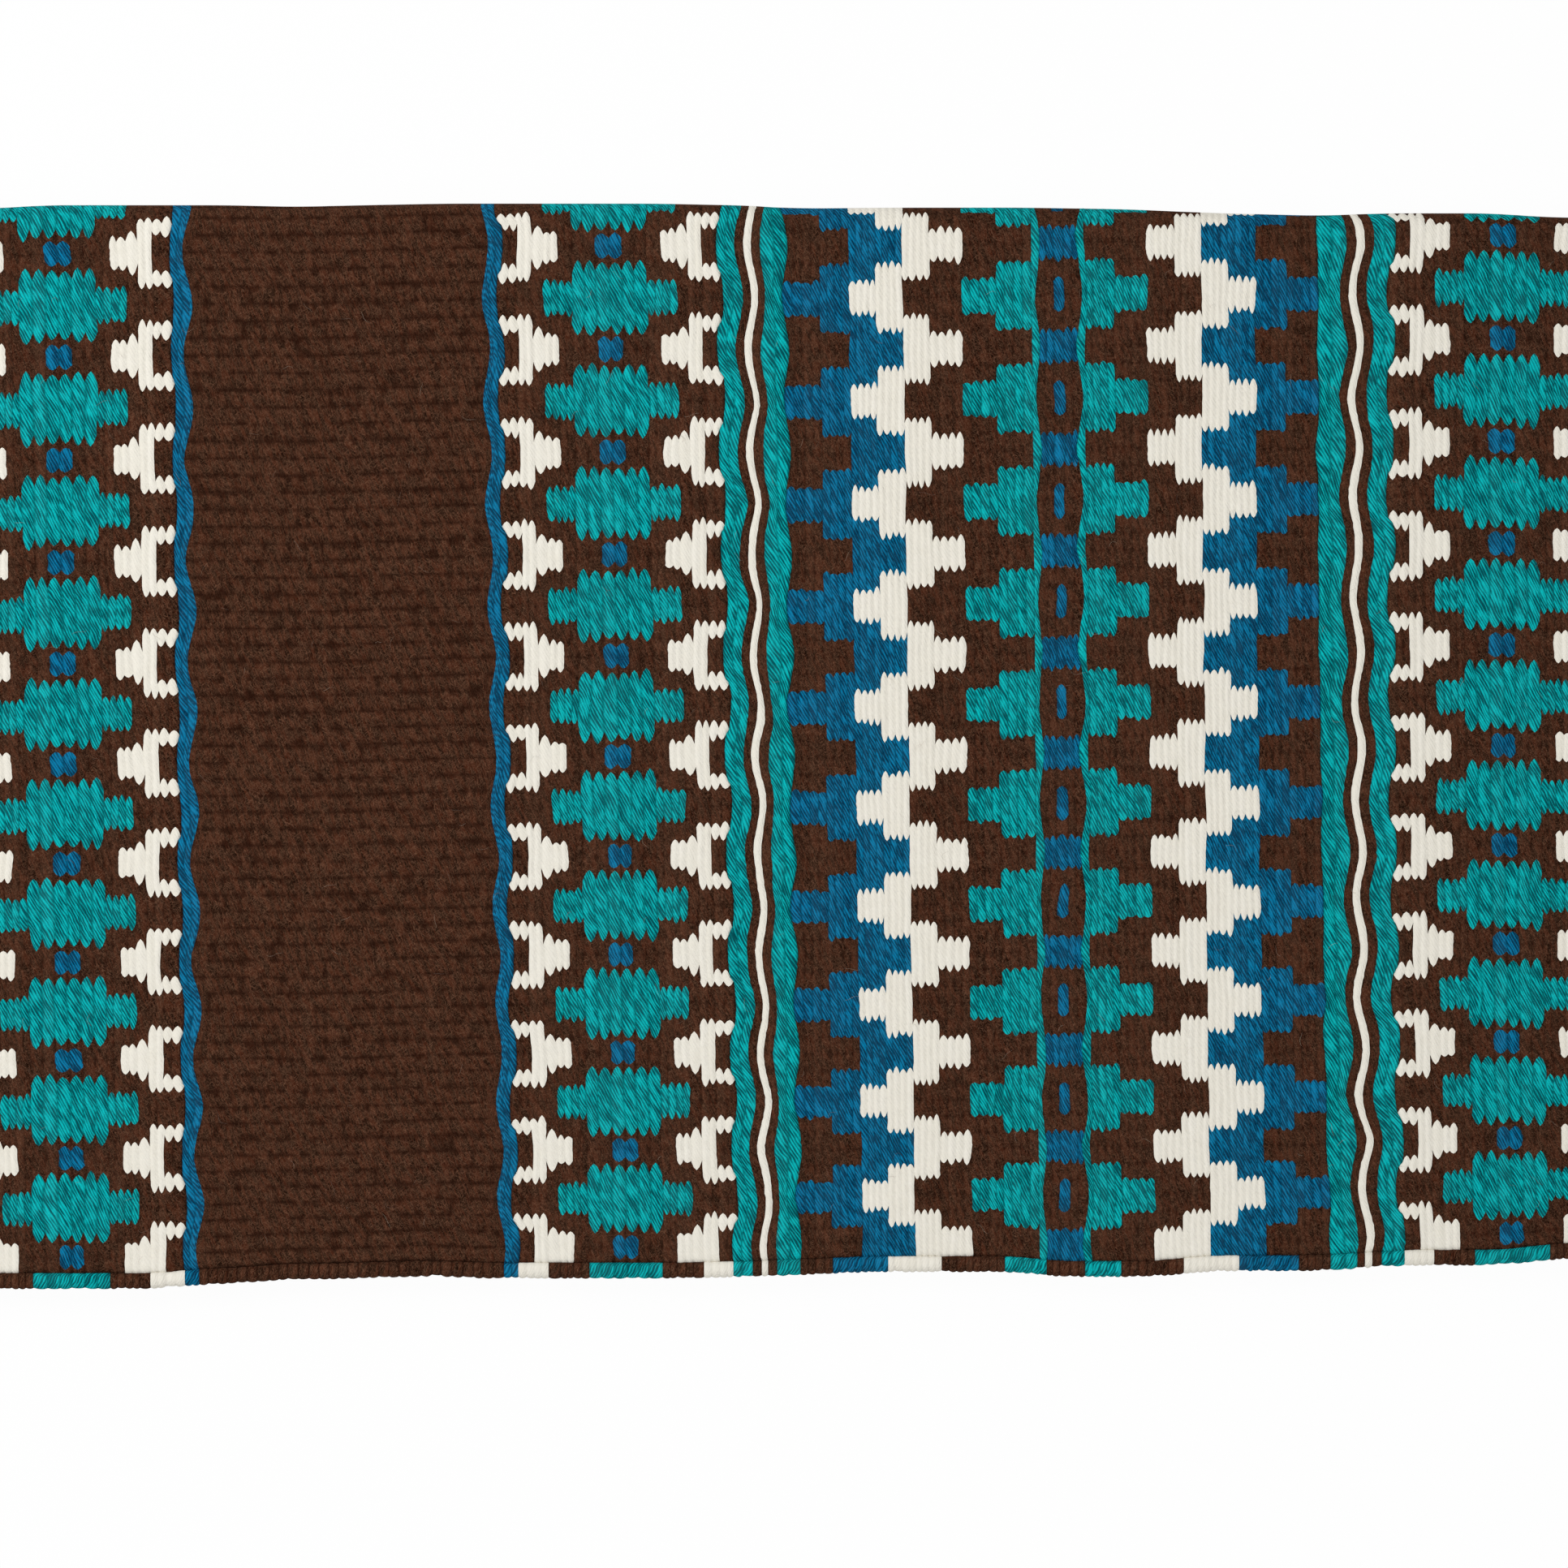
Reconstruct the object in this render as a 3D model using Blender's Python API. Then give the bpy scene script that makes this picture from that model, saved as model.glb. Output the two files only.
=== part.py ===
"""Handwoven wool saddle blanket, folded in half along its middle.

Metres, +Z up. X runs along the fold, +Y points to the fold and -Y to the open hem. The origin is on the
surface that the blanket lies on, under the middle of the folded blanket. Two layers lie on each other,
joined by the fold, which is the part that bends when the upper half is lifted and laid out flat.
Each colour run of the weave is its own piece: it goes up one half, round the fold and down the other.
"""

import math

import bmesh
import bpy

MM = 0.001

# The cloth
THICKNESS = 6.6 * MM  # one layer, over the pattern floats
RELIEF = 0.5 * MM  # how far the floats and ribs stand proud of the ground weave
GROUND = THICKNESS - RELIEF
LAYER_GAP = 0.4 * MM  # between the two layers
WEAVE_GAP = 0.3 * MM  # between neighbouring runs of yarn
FOLDED_DROP = 426.0 * MM  # from the hem to the outside of the fold
END_ROUNDING = 2.0 * MM  # on the long edge at each end of the blanket

# The rows of the weave
PATTERN_PERIOD = 40.0 * MM  # from one diamond to the next
ROWS_PER_PERIOD = 6
BROAD_RIB_ROWS = 3
RIB_GROOVE_WIDTH = 3.6 * MM
ROW_HEIGHT = PATTERN_PERIOD / ROWS_PER_PERIOD

# The bands, from the middle of the blanket outwards
FIELD_WIDTH = 117.5 * MM
BLUE_LINE_WIDTH = 8.8 * MM
INNER_DIAMOND_WIDTH = 84.8 * MM
OUTER_DIAMOND_WIDTH = 88.6 * MM

# A rail: teal edge, brown line, pinstripe, brown line, teal edge
TEAL_EDGE_WIDTH = 8.6 * MM
BROWN_LINE_WIDTH = 3.1 * MM
PINSTRIPE_WIDTH = 3.3 * MM
RAIL_WIDTH = 2 * TEAL_EDGE_WIDTH + 2 * BROWN_LINE_WIDTH + PINSTRIPE_WIDTH
YARNS_PER_TEAL_EDGE = 2
YARNS_PER_BLUE_LINE = 2
HUMP_SEGMENTS = 4

# A diamond: a wide bar crossed by a taller core
DIAMOND_BAR_WIDTH = 51.0 * MM
DIAMOND_CORE_WIDTH = 28.4 * MM
DIAMOND_BAR_ROWS = 2
DIAMOND_CORE_ROWS = 4

# A step band: centre field, two stepped zigzags and two stepped outer fields
CENTRE_FIELD_WIDTH = 122.2 * MM  # at its widest
ZIGZAG_WIDTH = 21.0 * MM  # at the level nearest the rail
STEP_FIELD_WIDTH = 24.9 * MM  # at its narrowest
OUTER_STEP_RUN = 10.5 * MM  # how far each level moves the zigzag's edge next to the step field
INNER_STEP_RUN = 11.6 * MM  # the same on the edge next to the centre field
STEP_LEVELS = (0, 1, 2, 2, 1, 0)  # the zigzag's level in each row, counted from a diamond's middle
STEP_BAND_WIDTH = CENTRE_FIELD_WIDTH + 2 * (ZIGZAG_WIDTH + STEP_FIELD_WIDTH)

# The fold: one layer bent round the gap between the layers
FOLD_INNER_RADIUS = LAYER_GAP / 2
FOLD_OUTER_RADIUS = FOLD_INNER_RADIUS + THICKNESS
FOLD_MIDDLE_RADIUS = FOLD_INNER_RADIUS + THICKNESS / 2
FOLD_SEGMENTS = 8
FOLD_CENTRE_Y = FOLDED_DROP / 2 - FOLD_OUTER_RADIUS
FOLD_CENTRE_Z = FOLD_OUTER_RADIUS
# The two creases stand this far from the fold's centre, so that the opened layers lie level
# and as far apart as the fold is long along its middle.
CREASE_OFFSET = FOLD_MIDDLE_RADIUS * math.pi / 4

# The layers, measured along the outer face from the top of the fold
FOLD_TO_FLAT = FOLD_OUTER_RADIUS * math.pi / 2
SELVEDGE_RADIUS = THICKNESS / 2
SELVEDGE_Y = SELVEDGE_RADIUS - FOLDED_DROP / 2
FLAT_FOLD_Y = FOLD_CENTRE_Y - WEAVE_GAP
FLAT_HEM_Y = SELVEDGE_Y + SELVEDGE_RADIUS + WEAVE_GAP
FLAT_LENGTH = FLAT_FOLD_Y - FLAT_HEM_Y
FLAT_MIDDLE_Y = (FLAT_FOLD_Y + FLAT_HEM_Y) / 2
LAYER_FLOOR = {"lower": 0.0, "upper": THICKNESS + LAYER_GAP}

SHORTEST_STEP = 2 * WEAVE_GAP
SELVEDGE_BEVEL_SEGMENTS = 3

# Yarn colours as they look, red, green and blue from 0 to 255
YARNS = {
    "brown_wool": (64, 41, 32),
    "teal_wool": (16, 148, 146),
    "blue_wool": (12, 100, 146),
    "white_wool": (230, 226, 214),
}
WOOL_ROUGHNESS = 0.92
FULL_CHANNEL = 255


def linear(channel):
    """A colour channel from 0 to 255 as the linear value that a shader takes."""
    value = channel / FULL_CHANNEL
    return value / 12.92 if value <= 0.04045 else ((value + 0.055) / 1.055) ** 2.4


def make_wool(name):
    material = bpy.data.materials.new(name)
    material.use_nodes = True
    shader = material.node_tree.nodes["Principled BSDF"]
    colour = (*(linear(channel) for channel in YARNS[name]), 1)
    shader.inputs["Base Color"].default_value = colour
    shader.inputs["Roughness"].default_value = WOOL_ROUGHNESS
    shader.inputs["Metallic"].default_value = 0
    material.diffuse_color = colour
    return material


def flat_y(along):
    """The Y of a point on a flat layer, from its distance along the outer face from the top of the fold."""
    return FOLD_CENTRE_Y + FOLD_TO_FLAT - along


def along_face(y):
    return FOLD_CENTRE_Y + FOLD_TO_FLAT - y


class Blanket:
    """The collection, the wool materials and the three bodies that the pieces hang on."""

    def __init__(self):
        self.collection = bpy.data.collections.new("saddle_blanket")
        self.raised = bpy.data.collections.new("raised_diamond_shapes")
        for collection in (self.collection, self.raised):
            bpy.context.scene.collection.children.link(collection)
        self.wool = {name: make_wool(name) for name in YARNS}
        self.places = {}
        self.bodies = {}
        self.add_body("lower_half", (0, 0, 0), None)
        crease_y = FOLD_CENTRE_Y + CREASE_OFFSET
        self.add_body("fold_roll", (0, crease_y, FOLD_CENTRE_Z - CREASE_OFFSET), "lower_half")
        self.add_body("upper_half", (0, crease_y, FOLD_CENTRE_Z + CREASE_OFFSET), "fold_roll")

    def add_body(self, name, place, parent):
        """An empty on the body's crease, which the body's pieces are parented to."""
        empty = bpy.data.objects.new(name + "_body", None)
        self.collection.objects.link(empty)
        self.places[name] = place
        self.bodies[name] = empty
        empty.location = place
        if parent:
            empty.parent = self.bodies[parent]
            empty.location = [a - b for a, b in zip(place, self.places[parent])]

    def add(self, name, data, body, yarn, place=(0, 0, 0), turn=(0, 0, 0)):
        """A piece at a place in the blanket's frame, on a body."""
        piece = bpy.data.objects.new(name, data)
        self.collection.objects.link(piece)
        piece.parent = self.bodies[body]
        piece.location = [a - b for a, b in zip(place, self.places[body])]
        piece.rotation_euler = turn
        data.materials.append(self.wool[yarn])
        return piece


ALONG_X = (math.pi / 2, 0, math.pi / 2)  # a profile in Y and Z, extruded along X
ALONG_Y = (math.pi / 2, 0, 0)  # a profile in X and Z, extruded along Y


def extruded(name, outlines, depth):
    """A flat outline, or several, extruded by half the depth to each side of its plane."""
    curve = bpy.data.curves.new(name, "CURVE")
    curve.dimensions = "2D"
    curve.fill_mode = "BOTH"
    curve.extrude = depth / 2
    for outline in outlines:
        spline = curve.splines.new("POLY")
        spline.points.add(len(outline) - 1)
        for point, (x, y) in zip(spline.points, outline):
            point.co = (x, y, 0, 1)
        spline.use_cyclic_u = True
    return curve


def box_mesh(name, size, rounded_side=0):
    """A box about its own middle. The two long edges on the rounded side, +1 or -1 along X, are rounded."""
    mesh = bpy.data.meshes.new(name)
    shape = bmesh.new()
    bmesh.ops.create_cube(shape, size=1)
    bmesh.ops.scale(shape, vec=size, verts=shape.verts)
    if rounded_side:
        edges = [
            edge
            for edge in shape.edges
            if all(vert.co.x * rounded_side > 0 for vert in edge.verts)
            and edge.verts[0].co.z * edge.verts[1].co.z > 0
        ]
        bmesh.ops.bevel(shape, geom=edges, offset=END_ROUNDING, segments=2, profile=0.5, affect="EDGES")
    shape.to_mesh(mesh)
    shape.free()
    return mesh


def step_rows():
    """The rows at whose start the zigzag may step, clear of both ends of the flat layer."""
    start, end = along_face(FLAT_FOLD_Y), along_face(FLAT_HEM_Y)
    rows = range(math.floor(start / ROW_HEIGHT), math.ceil(end / ROW_HEIGHT) + 1)
    return [row for row in rows if start + SHORTEST_STEP < row * ROW_HEIGHT < end - SHORTEST_STEP]


def stepped_edge(x_of_level, shift):
    """Points down a stepped edge from fold to hem, moved square to itself by shift, a positive one to +X."""

    def x_in_row(row):
        return x_of_level(STEP_LEVELS[row % ROWS_PER_PERIOD])

    rows = step_rows()
    points = [(x_in_row(rows[0] - 1) + shift, FLAT_FOLD_Y)]
    for row in rows:
        before, after = x_in_row(row - 1), x_in_row(row)
        if before != after:
            y = flat_y(row * ROW_HEIGHT - math.copysign(shift, shift * (after - before)))
            points += [(before + shift, y), (after + shift, y)]
    points.append((x_in_row(rows[-1]) + shift, FLAT_HEM_Y))
    return points


def straight_edge(x):
    return [(x, FLAT_FOLD_Y), (x, FLAT_HEM_Y)]


def add_flat_run(blanket, layer, name, left_edge, right_edge, yarn):
    """A run of yarn as a flat layer between two edges, each a list of points from fold to hem."""
    label = f"{layer}_{name}"
    data = extruded(label, [left_edge + right_edge[::-1]], THICKNESS)
    blanket.add(label, data, f"{layer}_half", yarn, (0, 0, LAYER_FLOOR[layer] + THICKNESS / 2))


def add_step_band(blanket, layer, side_name, side, middle):
    """The five interlocking runs of a step band whose middle is at X = middle."""
    half_gap = WEAVE_GAP / 2

    widest = CENTRE_FIELD_WIDTH / 2

    def outer_edge(toward):
        return lambda level: middle + toward * (widest + ZIGZAG_WIDTH - level * OUTER_STEP_RUN)

    def inner_edge(toward):
        return lambda level: middle + toward * (widest - level * INNER_STEP_RUN)

    add_flat_run(
        blanket,
        layer,
        f"{side_name}_centre_field",
        stepped_edge(inner_edge(-1), half_gap),
        stepped_edge(inner_edge(1), -half_gap),
        "brown_wool",
    )
    for toward in (-1, 1):
        place = "outer" if toward == side else "inner"
        band_edge = straight_edge(middle + toward * (STEP_BAND_WIDTH / 2 - half_gap))
        zigzag = [
            stepped_edge(inner_edge(toward), toward * half_gap),
            stepped_edge(outer_edge(toward), -toward * half_gap),
        ]
        steps = [stepped_edge(outer_edge(toward), toward * half_gap), band_edge]
        for name, edges, yarn in (("zigzag", zigzag, "white_wool"), ("step_field", steps, "blue_wool")):
            add_flat_run(blanket, layer, f"{side_name}_{place}_{name}", edges[0], edges[1], yarn)


def hump(left, width):
    """Points over one round yarn, from the ground weave up to the full thickness and nearly down again."""
    shares = [index / HUMP_SEGMENTS for index in range(HUMP_SEGMENTS)]
    return [(left + width * share, GROUND + RELIEF * math.sin(math.pi * share)) for share in shares]


def corded_profile(runs):
    """A profile in X and Z about the middle of its width. A run is a width and its count of raised yarns."""
    total = sum(width for width, _ in runs)
    left = -total / 2
    top = []
    for width, yarns in runs:
        for index in range(yarns):
            top += hump(left + width * index / yarns, width / yarns)
        left += width
        if yarns:
            top.append((left, GROUND))
    squeeze = (total - WEAVE_GAP) / total
    return [(x * squeeze, z) for x, z in [(-total / 2, 0), *top, (total / 2, 0)]]


RAIL_RUNS = (
    (TEAL_EDGE_WIDTH, YARNS_PER_TEAL_EDGE),
    (BROWN_LINE_WIDTH, 0),
    (PINSTRIPE_WIDTH, 1),
    (BROWN_LINE_WIDTH, 0),
    (TEAL_EDGE_WIDTH, YARNS_PER_TEAL_EDGE),
)
CORDED_RUNS = {
    "blue_line": ((BLUE_LINE_WIDTH, YARNS_PER_BLUE_LINE),),
    "inner_rail": RAIL_RUNS,
    "outer_rail": RAIL_RUNS,
}


def add_corded_band(blanket, layer, name, runs, middle, yarn):
    """A narrow band whose yarns stand up as cords on the upper face. The lower layer is pressed flat."""
    label = f"{layer}_{name}"
    if layer == "upper":
        data = extruded(label, [corded_profile(runs)], FLAT_LENGTH)
        place = (middle, FLAT_MIDDLE_Y, LAYER_FLOOR[layer])
        blanket.add(label, data, "upper_half", yarn, place, ALONG_Y)
    else:
        width = sum(width for width, _ in runs) - WEAVE_GAP
        add_plain_slab(blanket, layer, name, middle, width, THICKNESS, yarn)


def add_plain_slab(blanket, layer, name, middle, width, height, yarn, rounded_side=0):
    label = f"{layer}_{name}"
    data = box_mesh(label, (width, FLAT_LENGTH, height), rounded_side)
    place = (middle, FLAT_MIDDLE_Y, LAYER_FLOOR[layer] + height / 2)
    return blanket.add(label, data, f"{layer}_half", yarn, place)


def diamond_outline(y):
    """The stepped diamond about X = 0 and the given Y, as a wide bar crossed by a taller core."""
    bar, core = DIAMOND_BAR_WIDTH / 2, DIAMOND_CORE_WIDTH / 2
    low, high = DIAMOND_BAR_ROWS * ROW_HEIGHT / 2, DIAMOND_CORE_ROWS * ROW_HEIGHT / 2
    quarter = [(bar, low), (core, low), (core, high)]
    upper = quarter + [(-x, dy) for x, dy in reversed(quarter)]
    lower = [(x, -dy) for x, dy in reversed(upper)]
    return [(x, y + dy) for x, dy in upper + lower]


def diamond_rows():
    """The Y of each diamond that lies whole on the flat layer."""
    reach = DIAMOND_CORE_ROWS * ROW_HEIGHT / 2 + RELIEF
    count = math.ceil(FOLDED_DROP / PATTERN_PERIOD) + 1
    centres = [flat_y(index * PATTERN_PERIOD) for index in range(count)]
    return [y for y in centres if FLAT_HEM_Y + reach < y < FLAT_FOLD_Y - reach]


def raised_diamonds(blanket, name, middle):
    """The diamonds of one band as a mesh that starts halfway down the layer and ends at its full height."""
    height = THICKNESS / 2
    mesh = bpy.data.meshes.new(name)
    shape = bmesh.new()
    for y in diamond_rows():
        shape.faces.new([shape.verts.new((x, row_y, 0)) for x, row_y in diamond_outline(y)])
    raised = bmesh.ops.extrude_face_region(shape, geom=shape.faces[:])["geom"]
    top = [element for element in raised if isinstance(element, bmesh.types.BMVert)]
    bmesh.ops.translate(shape, vec=(0, 0, height), verts=top)
    bmesh.ops.recalc_face_normals(shape, faces=shape.faces)
    shape.to_mesh(mesh)
    shape.free()
    mesh.materials.append(blanket.wool["teal_wool"])
    diamonds = bpy.data.objects.new(name, mesh)
    blanket.raised.objects.link(diamonds)
    diamonds.location = (middle, 0, LAYER_FLOOR["upper"] + THICKNESS - height)
    diamonds.hide_render = True
    diamonds.display_type = "WIRE"
    return diamonds


def add_diamond_band(blanket, layer, name, middle, span, end_side):
    """A band of diamonds. They stand proud on the upper face. The lower layer is pressed flat."""
    left, right = span
    height = GROUND if layer == "upper" else THICKNESS
    slab_middle = (left + right) / 2
    slab = add_plain_slab(blanket, layer, name, slab_middle, right - left, height, "brown_wool", end_side)
    if layer == "upper":
        union = slab.modifiers.new("raised_diamonds", "BOOLEAN")
        union.operation = "UNION"
        union.material_mode = "TRANSFER"
        union.object = raised_diamonds(blanket, f"{name}_shapes", middle)


def add_plain_field(blanket, layer):
    """The middle field, with its broad ribs across the upper face."""
    width = FIELD_WIDTH - WEAVE_GAP
    if layer == "lower":
        add_plain_slab(blanket, layer, "plain_field", 0, width, THICKNESS, "brown_wool")
        return
    pitch = BROAD_RIB_ROWS * ROW_HEIGHT
    first = math.ceil((along_face(FLAT_FOLD_Y) + RIB_GROOVE_WIDTH) / pitch)
    last = math.floor((along_face(FLAT_HEM_Y) - RIB_GROOVE_WIDTH) / pitch)
    top = [(FLAT_FOLD_Y, THICKNESS)]
    for index in range(first, last + 1):
        y = flat_y(index * pitch)
        top += [(y + RIB_GROOVE_WIDTH / 2, THICKNESS), (y, GROUND)]
        top.append((y - RIB_GROOVE_WIDTH / 2, THICKNESS))
    top.append((FLAT_HEM_Y, THICKNESS))
    outline = [(FLAT_FOLD_Y, 0), *top, (FLAT_HEM_Y, 0)]
    data = extruded("upper_plain_field", [outline], width)
    place = (0, 0, LAYER_FLOOR["upper"])
    blanket.add("upper_plain_field", data, "upper_half", "brown_wool", place, ALONG_X)


def add_fold(blanket, name, span, yarn):
    """The part of a band that goes round the fold."""
    left, right = span
    angles = [math.pi * (index / FOLD_SEGMENTS - 1 / 2) for index in range(FOLD_SEGMENTS + 1)]
    outer = [(FOLD_OUTER_RADIUS * math.cos(a), FOLD_OUTER_RADIUS * math.sin(a)) for a in angles]
    inner = [(FOLD_INNER_RADIUS * math.cos(a), FOLD_INNER_RADIUS * math.sin(a)) for a in angles]
    outline = outer + inner[::-1]
    label = f"fold_{name}"
    data = extruded(label, [outline], right - left)
    place = ((left + right) / 2, FOLD_CENTRE_Y, FOLD_CENTRE_Z)
    blanket.add(label, data, "fold_roll", yarn, place, ALONG_X)


def add_selvedge(blanket, layer):
    """The thick cord that the last row of the weave is turned over, along the hem."""
    curve = bpy.data.curves.new(f"{layer}_selvedge", "CURVE")
    curve.dimensions = "3D"
    curve.bevel_depth = SELVEDGE_RADIUS
    curve.bevel_resolution = SELVEDGE_BEVEL_SEGMENTS
    curve.use_fill_caps = True
    spline = curve.splines.new("POLY")
    spline.points.add(1)
    for point, x in zip(spline.points, (-BLANKET_LENGTH / 2, BLANKET_LENGTH / 2)):
        point.co = (x, 0, 0, 1)
    place = (0, SELVEDGE_Y, LAYER_FLOOR[layer] + SELVEDGE_RADIUS)
    blanket.add(f"{layer}_selvedge", curve, f"{layer}_half", "brown_wool", place)


# Each band on one side of the field: its name, its width and the yarn that shows most, outwards
SIDE_BANDS = (
    ("blue_line", BLUE_LINE_WIDTH, "blue_wool"),
    ("inner_diamonds", INNER_DIAMOND_WIDTH, "brown_wool"),
    ("inner_rail", RAIL_WIDTH, "teal_wool"),
    ("steps", STEP_BAND_WIDTH, "blue_wool"),
    ("outer_rail", RAIL_WIDTH, "teal_wool"),
    ("outer_diamonds", OUTER_DIAMOND_WIDTH, "brown_wool"),
)
END_BAND = "outer_diamonds"
BLANKET_LENGTH = FIELD_WIDTH + 2 * sum(width for _, width, _ in SIDE_BANDS)


def add_side(blanket, side_name, side):
    """Every band on one side of the plain field, in both layers and round the fold."""
    near = FIELD_WIDTH / 2
    for band, width, yarn in SIDE_BANDS:
        far = near + width
        middle = side * (near + far) / 2
        end_side = side if band == END_BAND else 0
        outer_gap = 0 if end_side else WEAVE_GAP / 2
        span = sorted((side * (near + WEAVE_GAP / 2), side * (far - outer_gap)))
        name = f"{side_name}_{band}"
        for layer in LAYER_FLOOR:
            if band == "steps":
                add_step_band(blanket, layer, side_name, side, middle)
            elif band in CORDED_RUNS:
                add_corded_band(blanket, layer, name, CORDED_RUNS[band], middle, yarn)
            else:
                add_diamond_band(blanket, layer, name, middle, span, end_side)
        add_fold(blanket, name, span, yarn)
        near = far


def main():
    for leftover in list(bpy.data.objects):
        bpy.data.objects.remove(leftover, do_unlink=True)
    blanket = Blanket()
    half_field = (FIELD_WIDTH - WEAVE_GAP) / 2
    for layer in LAYER_FLOOR:
        add_plain_field(blanket, layer)
        add_selvedge(blanket, layer)
    add_fold(blanket, "plain_field", (-half_field, half_field), "brown_wool")
    add_side(blanket, "left", -1)
    add_side(blanket, "right", 1)
    bpy.context.view_layer.update()


main()
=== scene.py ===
import math

import bpy
import numpy as np
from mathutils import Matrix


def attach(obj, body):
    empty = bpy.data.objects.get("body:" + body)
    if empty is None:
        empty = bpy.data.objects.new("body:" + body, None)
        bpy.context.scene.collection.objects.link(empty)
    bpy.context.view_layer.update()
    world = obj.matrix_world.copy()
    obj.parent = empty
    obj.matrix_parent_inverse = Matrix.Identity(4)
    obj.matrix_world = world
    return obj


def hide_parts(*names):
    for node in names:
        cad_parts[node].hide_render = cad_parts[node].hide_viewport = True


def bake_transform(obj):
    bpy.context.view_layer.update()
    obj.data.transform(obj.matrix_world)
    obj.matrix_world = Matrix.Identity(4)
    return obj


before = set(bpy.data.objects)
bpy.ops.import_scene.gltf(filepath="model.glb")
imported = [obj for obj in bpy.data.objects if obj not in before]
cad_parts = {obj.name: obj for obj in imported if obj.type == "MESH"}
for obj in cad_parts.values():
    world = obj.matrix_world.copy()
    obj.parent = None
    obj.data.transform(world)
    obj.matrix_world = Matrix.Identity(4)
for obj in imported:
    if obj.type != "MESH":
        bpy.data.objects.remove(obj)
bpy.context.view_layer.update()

bl_info = {
    "name": "Folded Saddle Blanket",
    "version": (1, 0, 0),
    "blender": (4, 5, 0),
    "location": "View3D > Sidebar > Saddle Blanket",
    "description": "Weaves a folded wool saddle blanket yarn by yarn around its packed frame",
    "category": "Add Mesh",
}

MM = 0.001
SEED = 41

# The cloth as it is woven. Lengths are in millimetres until a mesh is made.
PERIOD = 40.0
ROWS_PER_PERIOD = 6
ROW = PERIOD / ROWS_PER_PERIOD
BROAD_RIB = 3 * ROW
LAST_ROW = 64
THICKNESS = 6.6
LAYER_GAP = 0.4
FOLD_RADIUS = THICKNESS + LAYER_GAP / 2
FOLD_CENTRE_Y = 206.2
FOLD_CENTRE_Z = FOLD_RADIUS
FOLD_ARC = FOLD_RADIUS * math.pi / 2
FOLD_OUTSIDE = FOLD_CENTRE_Y + FOLD_RADIUS
SELVEDGE_RADIUS = THICKNESS / 2
BLANKET_END = 508.35

# The photograph's own frame, for the places that are read from it
PIXEL = 0.3237
PIXEL_OF_MIDDLE = 418.3
PIXEL_OF_FOLD = 258.0
PHOTO_PIXELS = 1932

WOOLS = ("brown_wool", "teal_wool", "blue_wool", "white_wool")
CODE = {"b": 0, "t": 1, "l": 2, "w": 3}
BROWN, TEAL, BLUE, WHITE = range(4)
# The lighter yarn's floats bite into the darker one's rows
BITE_RANK = np.array((0, 2, 1, 3))

# Drafts, from the blanket's middle outwards. Each run is the colour of its rows level with a
# diamond, beside it and midway between two, its width and its yarn columns. Two more numbers
# say how much further than usual its lightest floats reach, and how much deeper the notches
# beside them are.
FIELD_DRAFT = (("bbb", 61.9, 15),)
BLUE_LINE_DRAFT = (("lll", 4.9, 2),)
HALF_DIAMOND = (
    ("bwb", 6.9, 2), ("bww", 5.8, 2, 0.2), ("bbw", 4.5, 1, 1.5), ("tbw", 5.9, 2, -0.9),
    ("tbb", 5.7, 2), ("ttb", 9.9, 2, 0.7, 1.1), ("ttl", 5.0, 1, 0.1, 0.8),
)
DIAMOND_DRAFT = HALF_DIAMOND + HALF_DIAMOND[::-1]
INNER_RAIL_DRAFT = (
    ("ttt", 6.6, 2), ("bbb", 3.9, 1), ("www", 3.0, 1), ("bbb", 4.2, 1), ("ttt", 8.3, 2),
)
STEP_DRAFT = (
    ("lbb", 13.6, 4, 0.0, -0.7), ("llb", 11.7, 4, 0.0, -0.7), ("wll", 10.7, 4), ("wwl", 10.8, 4),
    ("bww", 10.7, 4), ("bbw", 12.8, 4), ("tbb", 13.3, 4, 0.0, -1.2), ("ttb", 14.2, 4, 0.0, -0.8),
    ("ttt", 2.5, 1), ("bbl", 6.1, 2), ("lbl", 4.3, 1), ("bbl", 6.1, 2), ("ttt", 2.7, 1),
    ("ttb", 11.4, 4, 0.0, -0.8), ("tbb", 13.1, 4, 0.0, -1.2), ("bbw", 11.2, 4), ("bww", 10.7, 4),
    ("wwl", 10.7, 4), ("wll", 11.1, 4), ("llb", 12.2, 4, 0.0, -0.7), ("lbb", 13.4, 4, 0.0, -0.7),
)
OUTER_RAIL_DRAFT = (
    ("ttt", 9.3, 2), ("bbb", 3.9, 1), ("www", 3.1, 1), ("bbb", 4.1, 1), ("ttt", 7.0, 2),
)
BANDS = (
    ("plain_field", FIELD_DRAFT, 61.9),
    ("blue_line", BLUE_LINE_DRAFT, 4.9),
    ("inner_diamonds", DIAMOND_DRAFT, 87.8),
    ("inner_rail", INNER_RAIL_DRAFT, 26.0),
    ("step_band", STEP_DRAFT, 211.4),
    ("outer_rail", OUTER_RAIL_DRAFT, 28.0),
    ("outer_diamonds", DIAMOND_DRAFT, 88.35),
)

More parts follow.
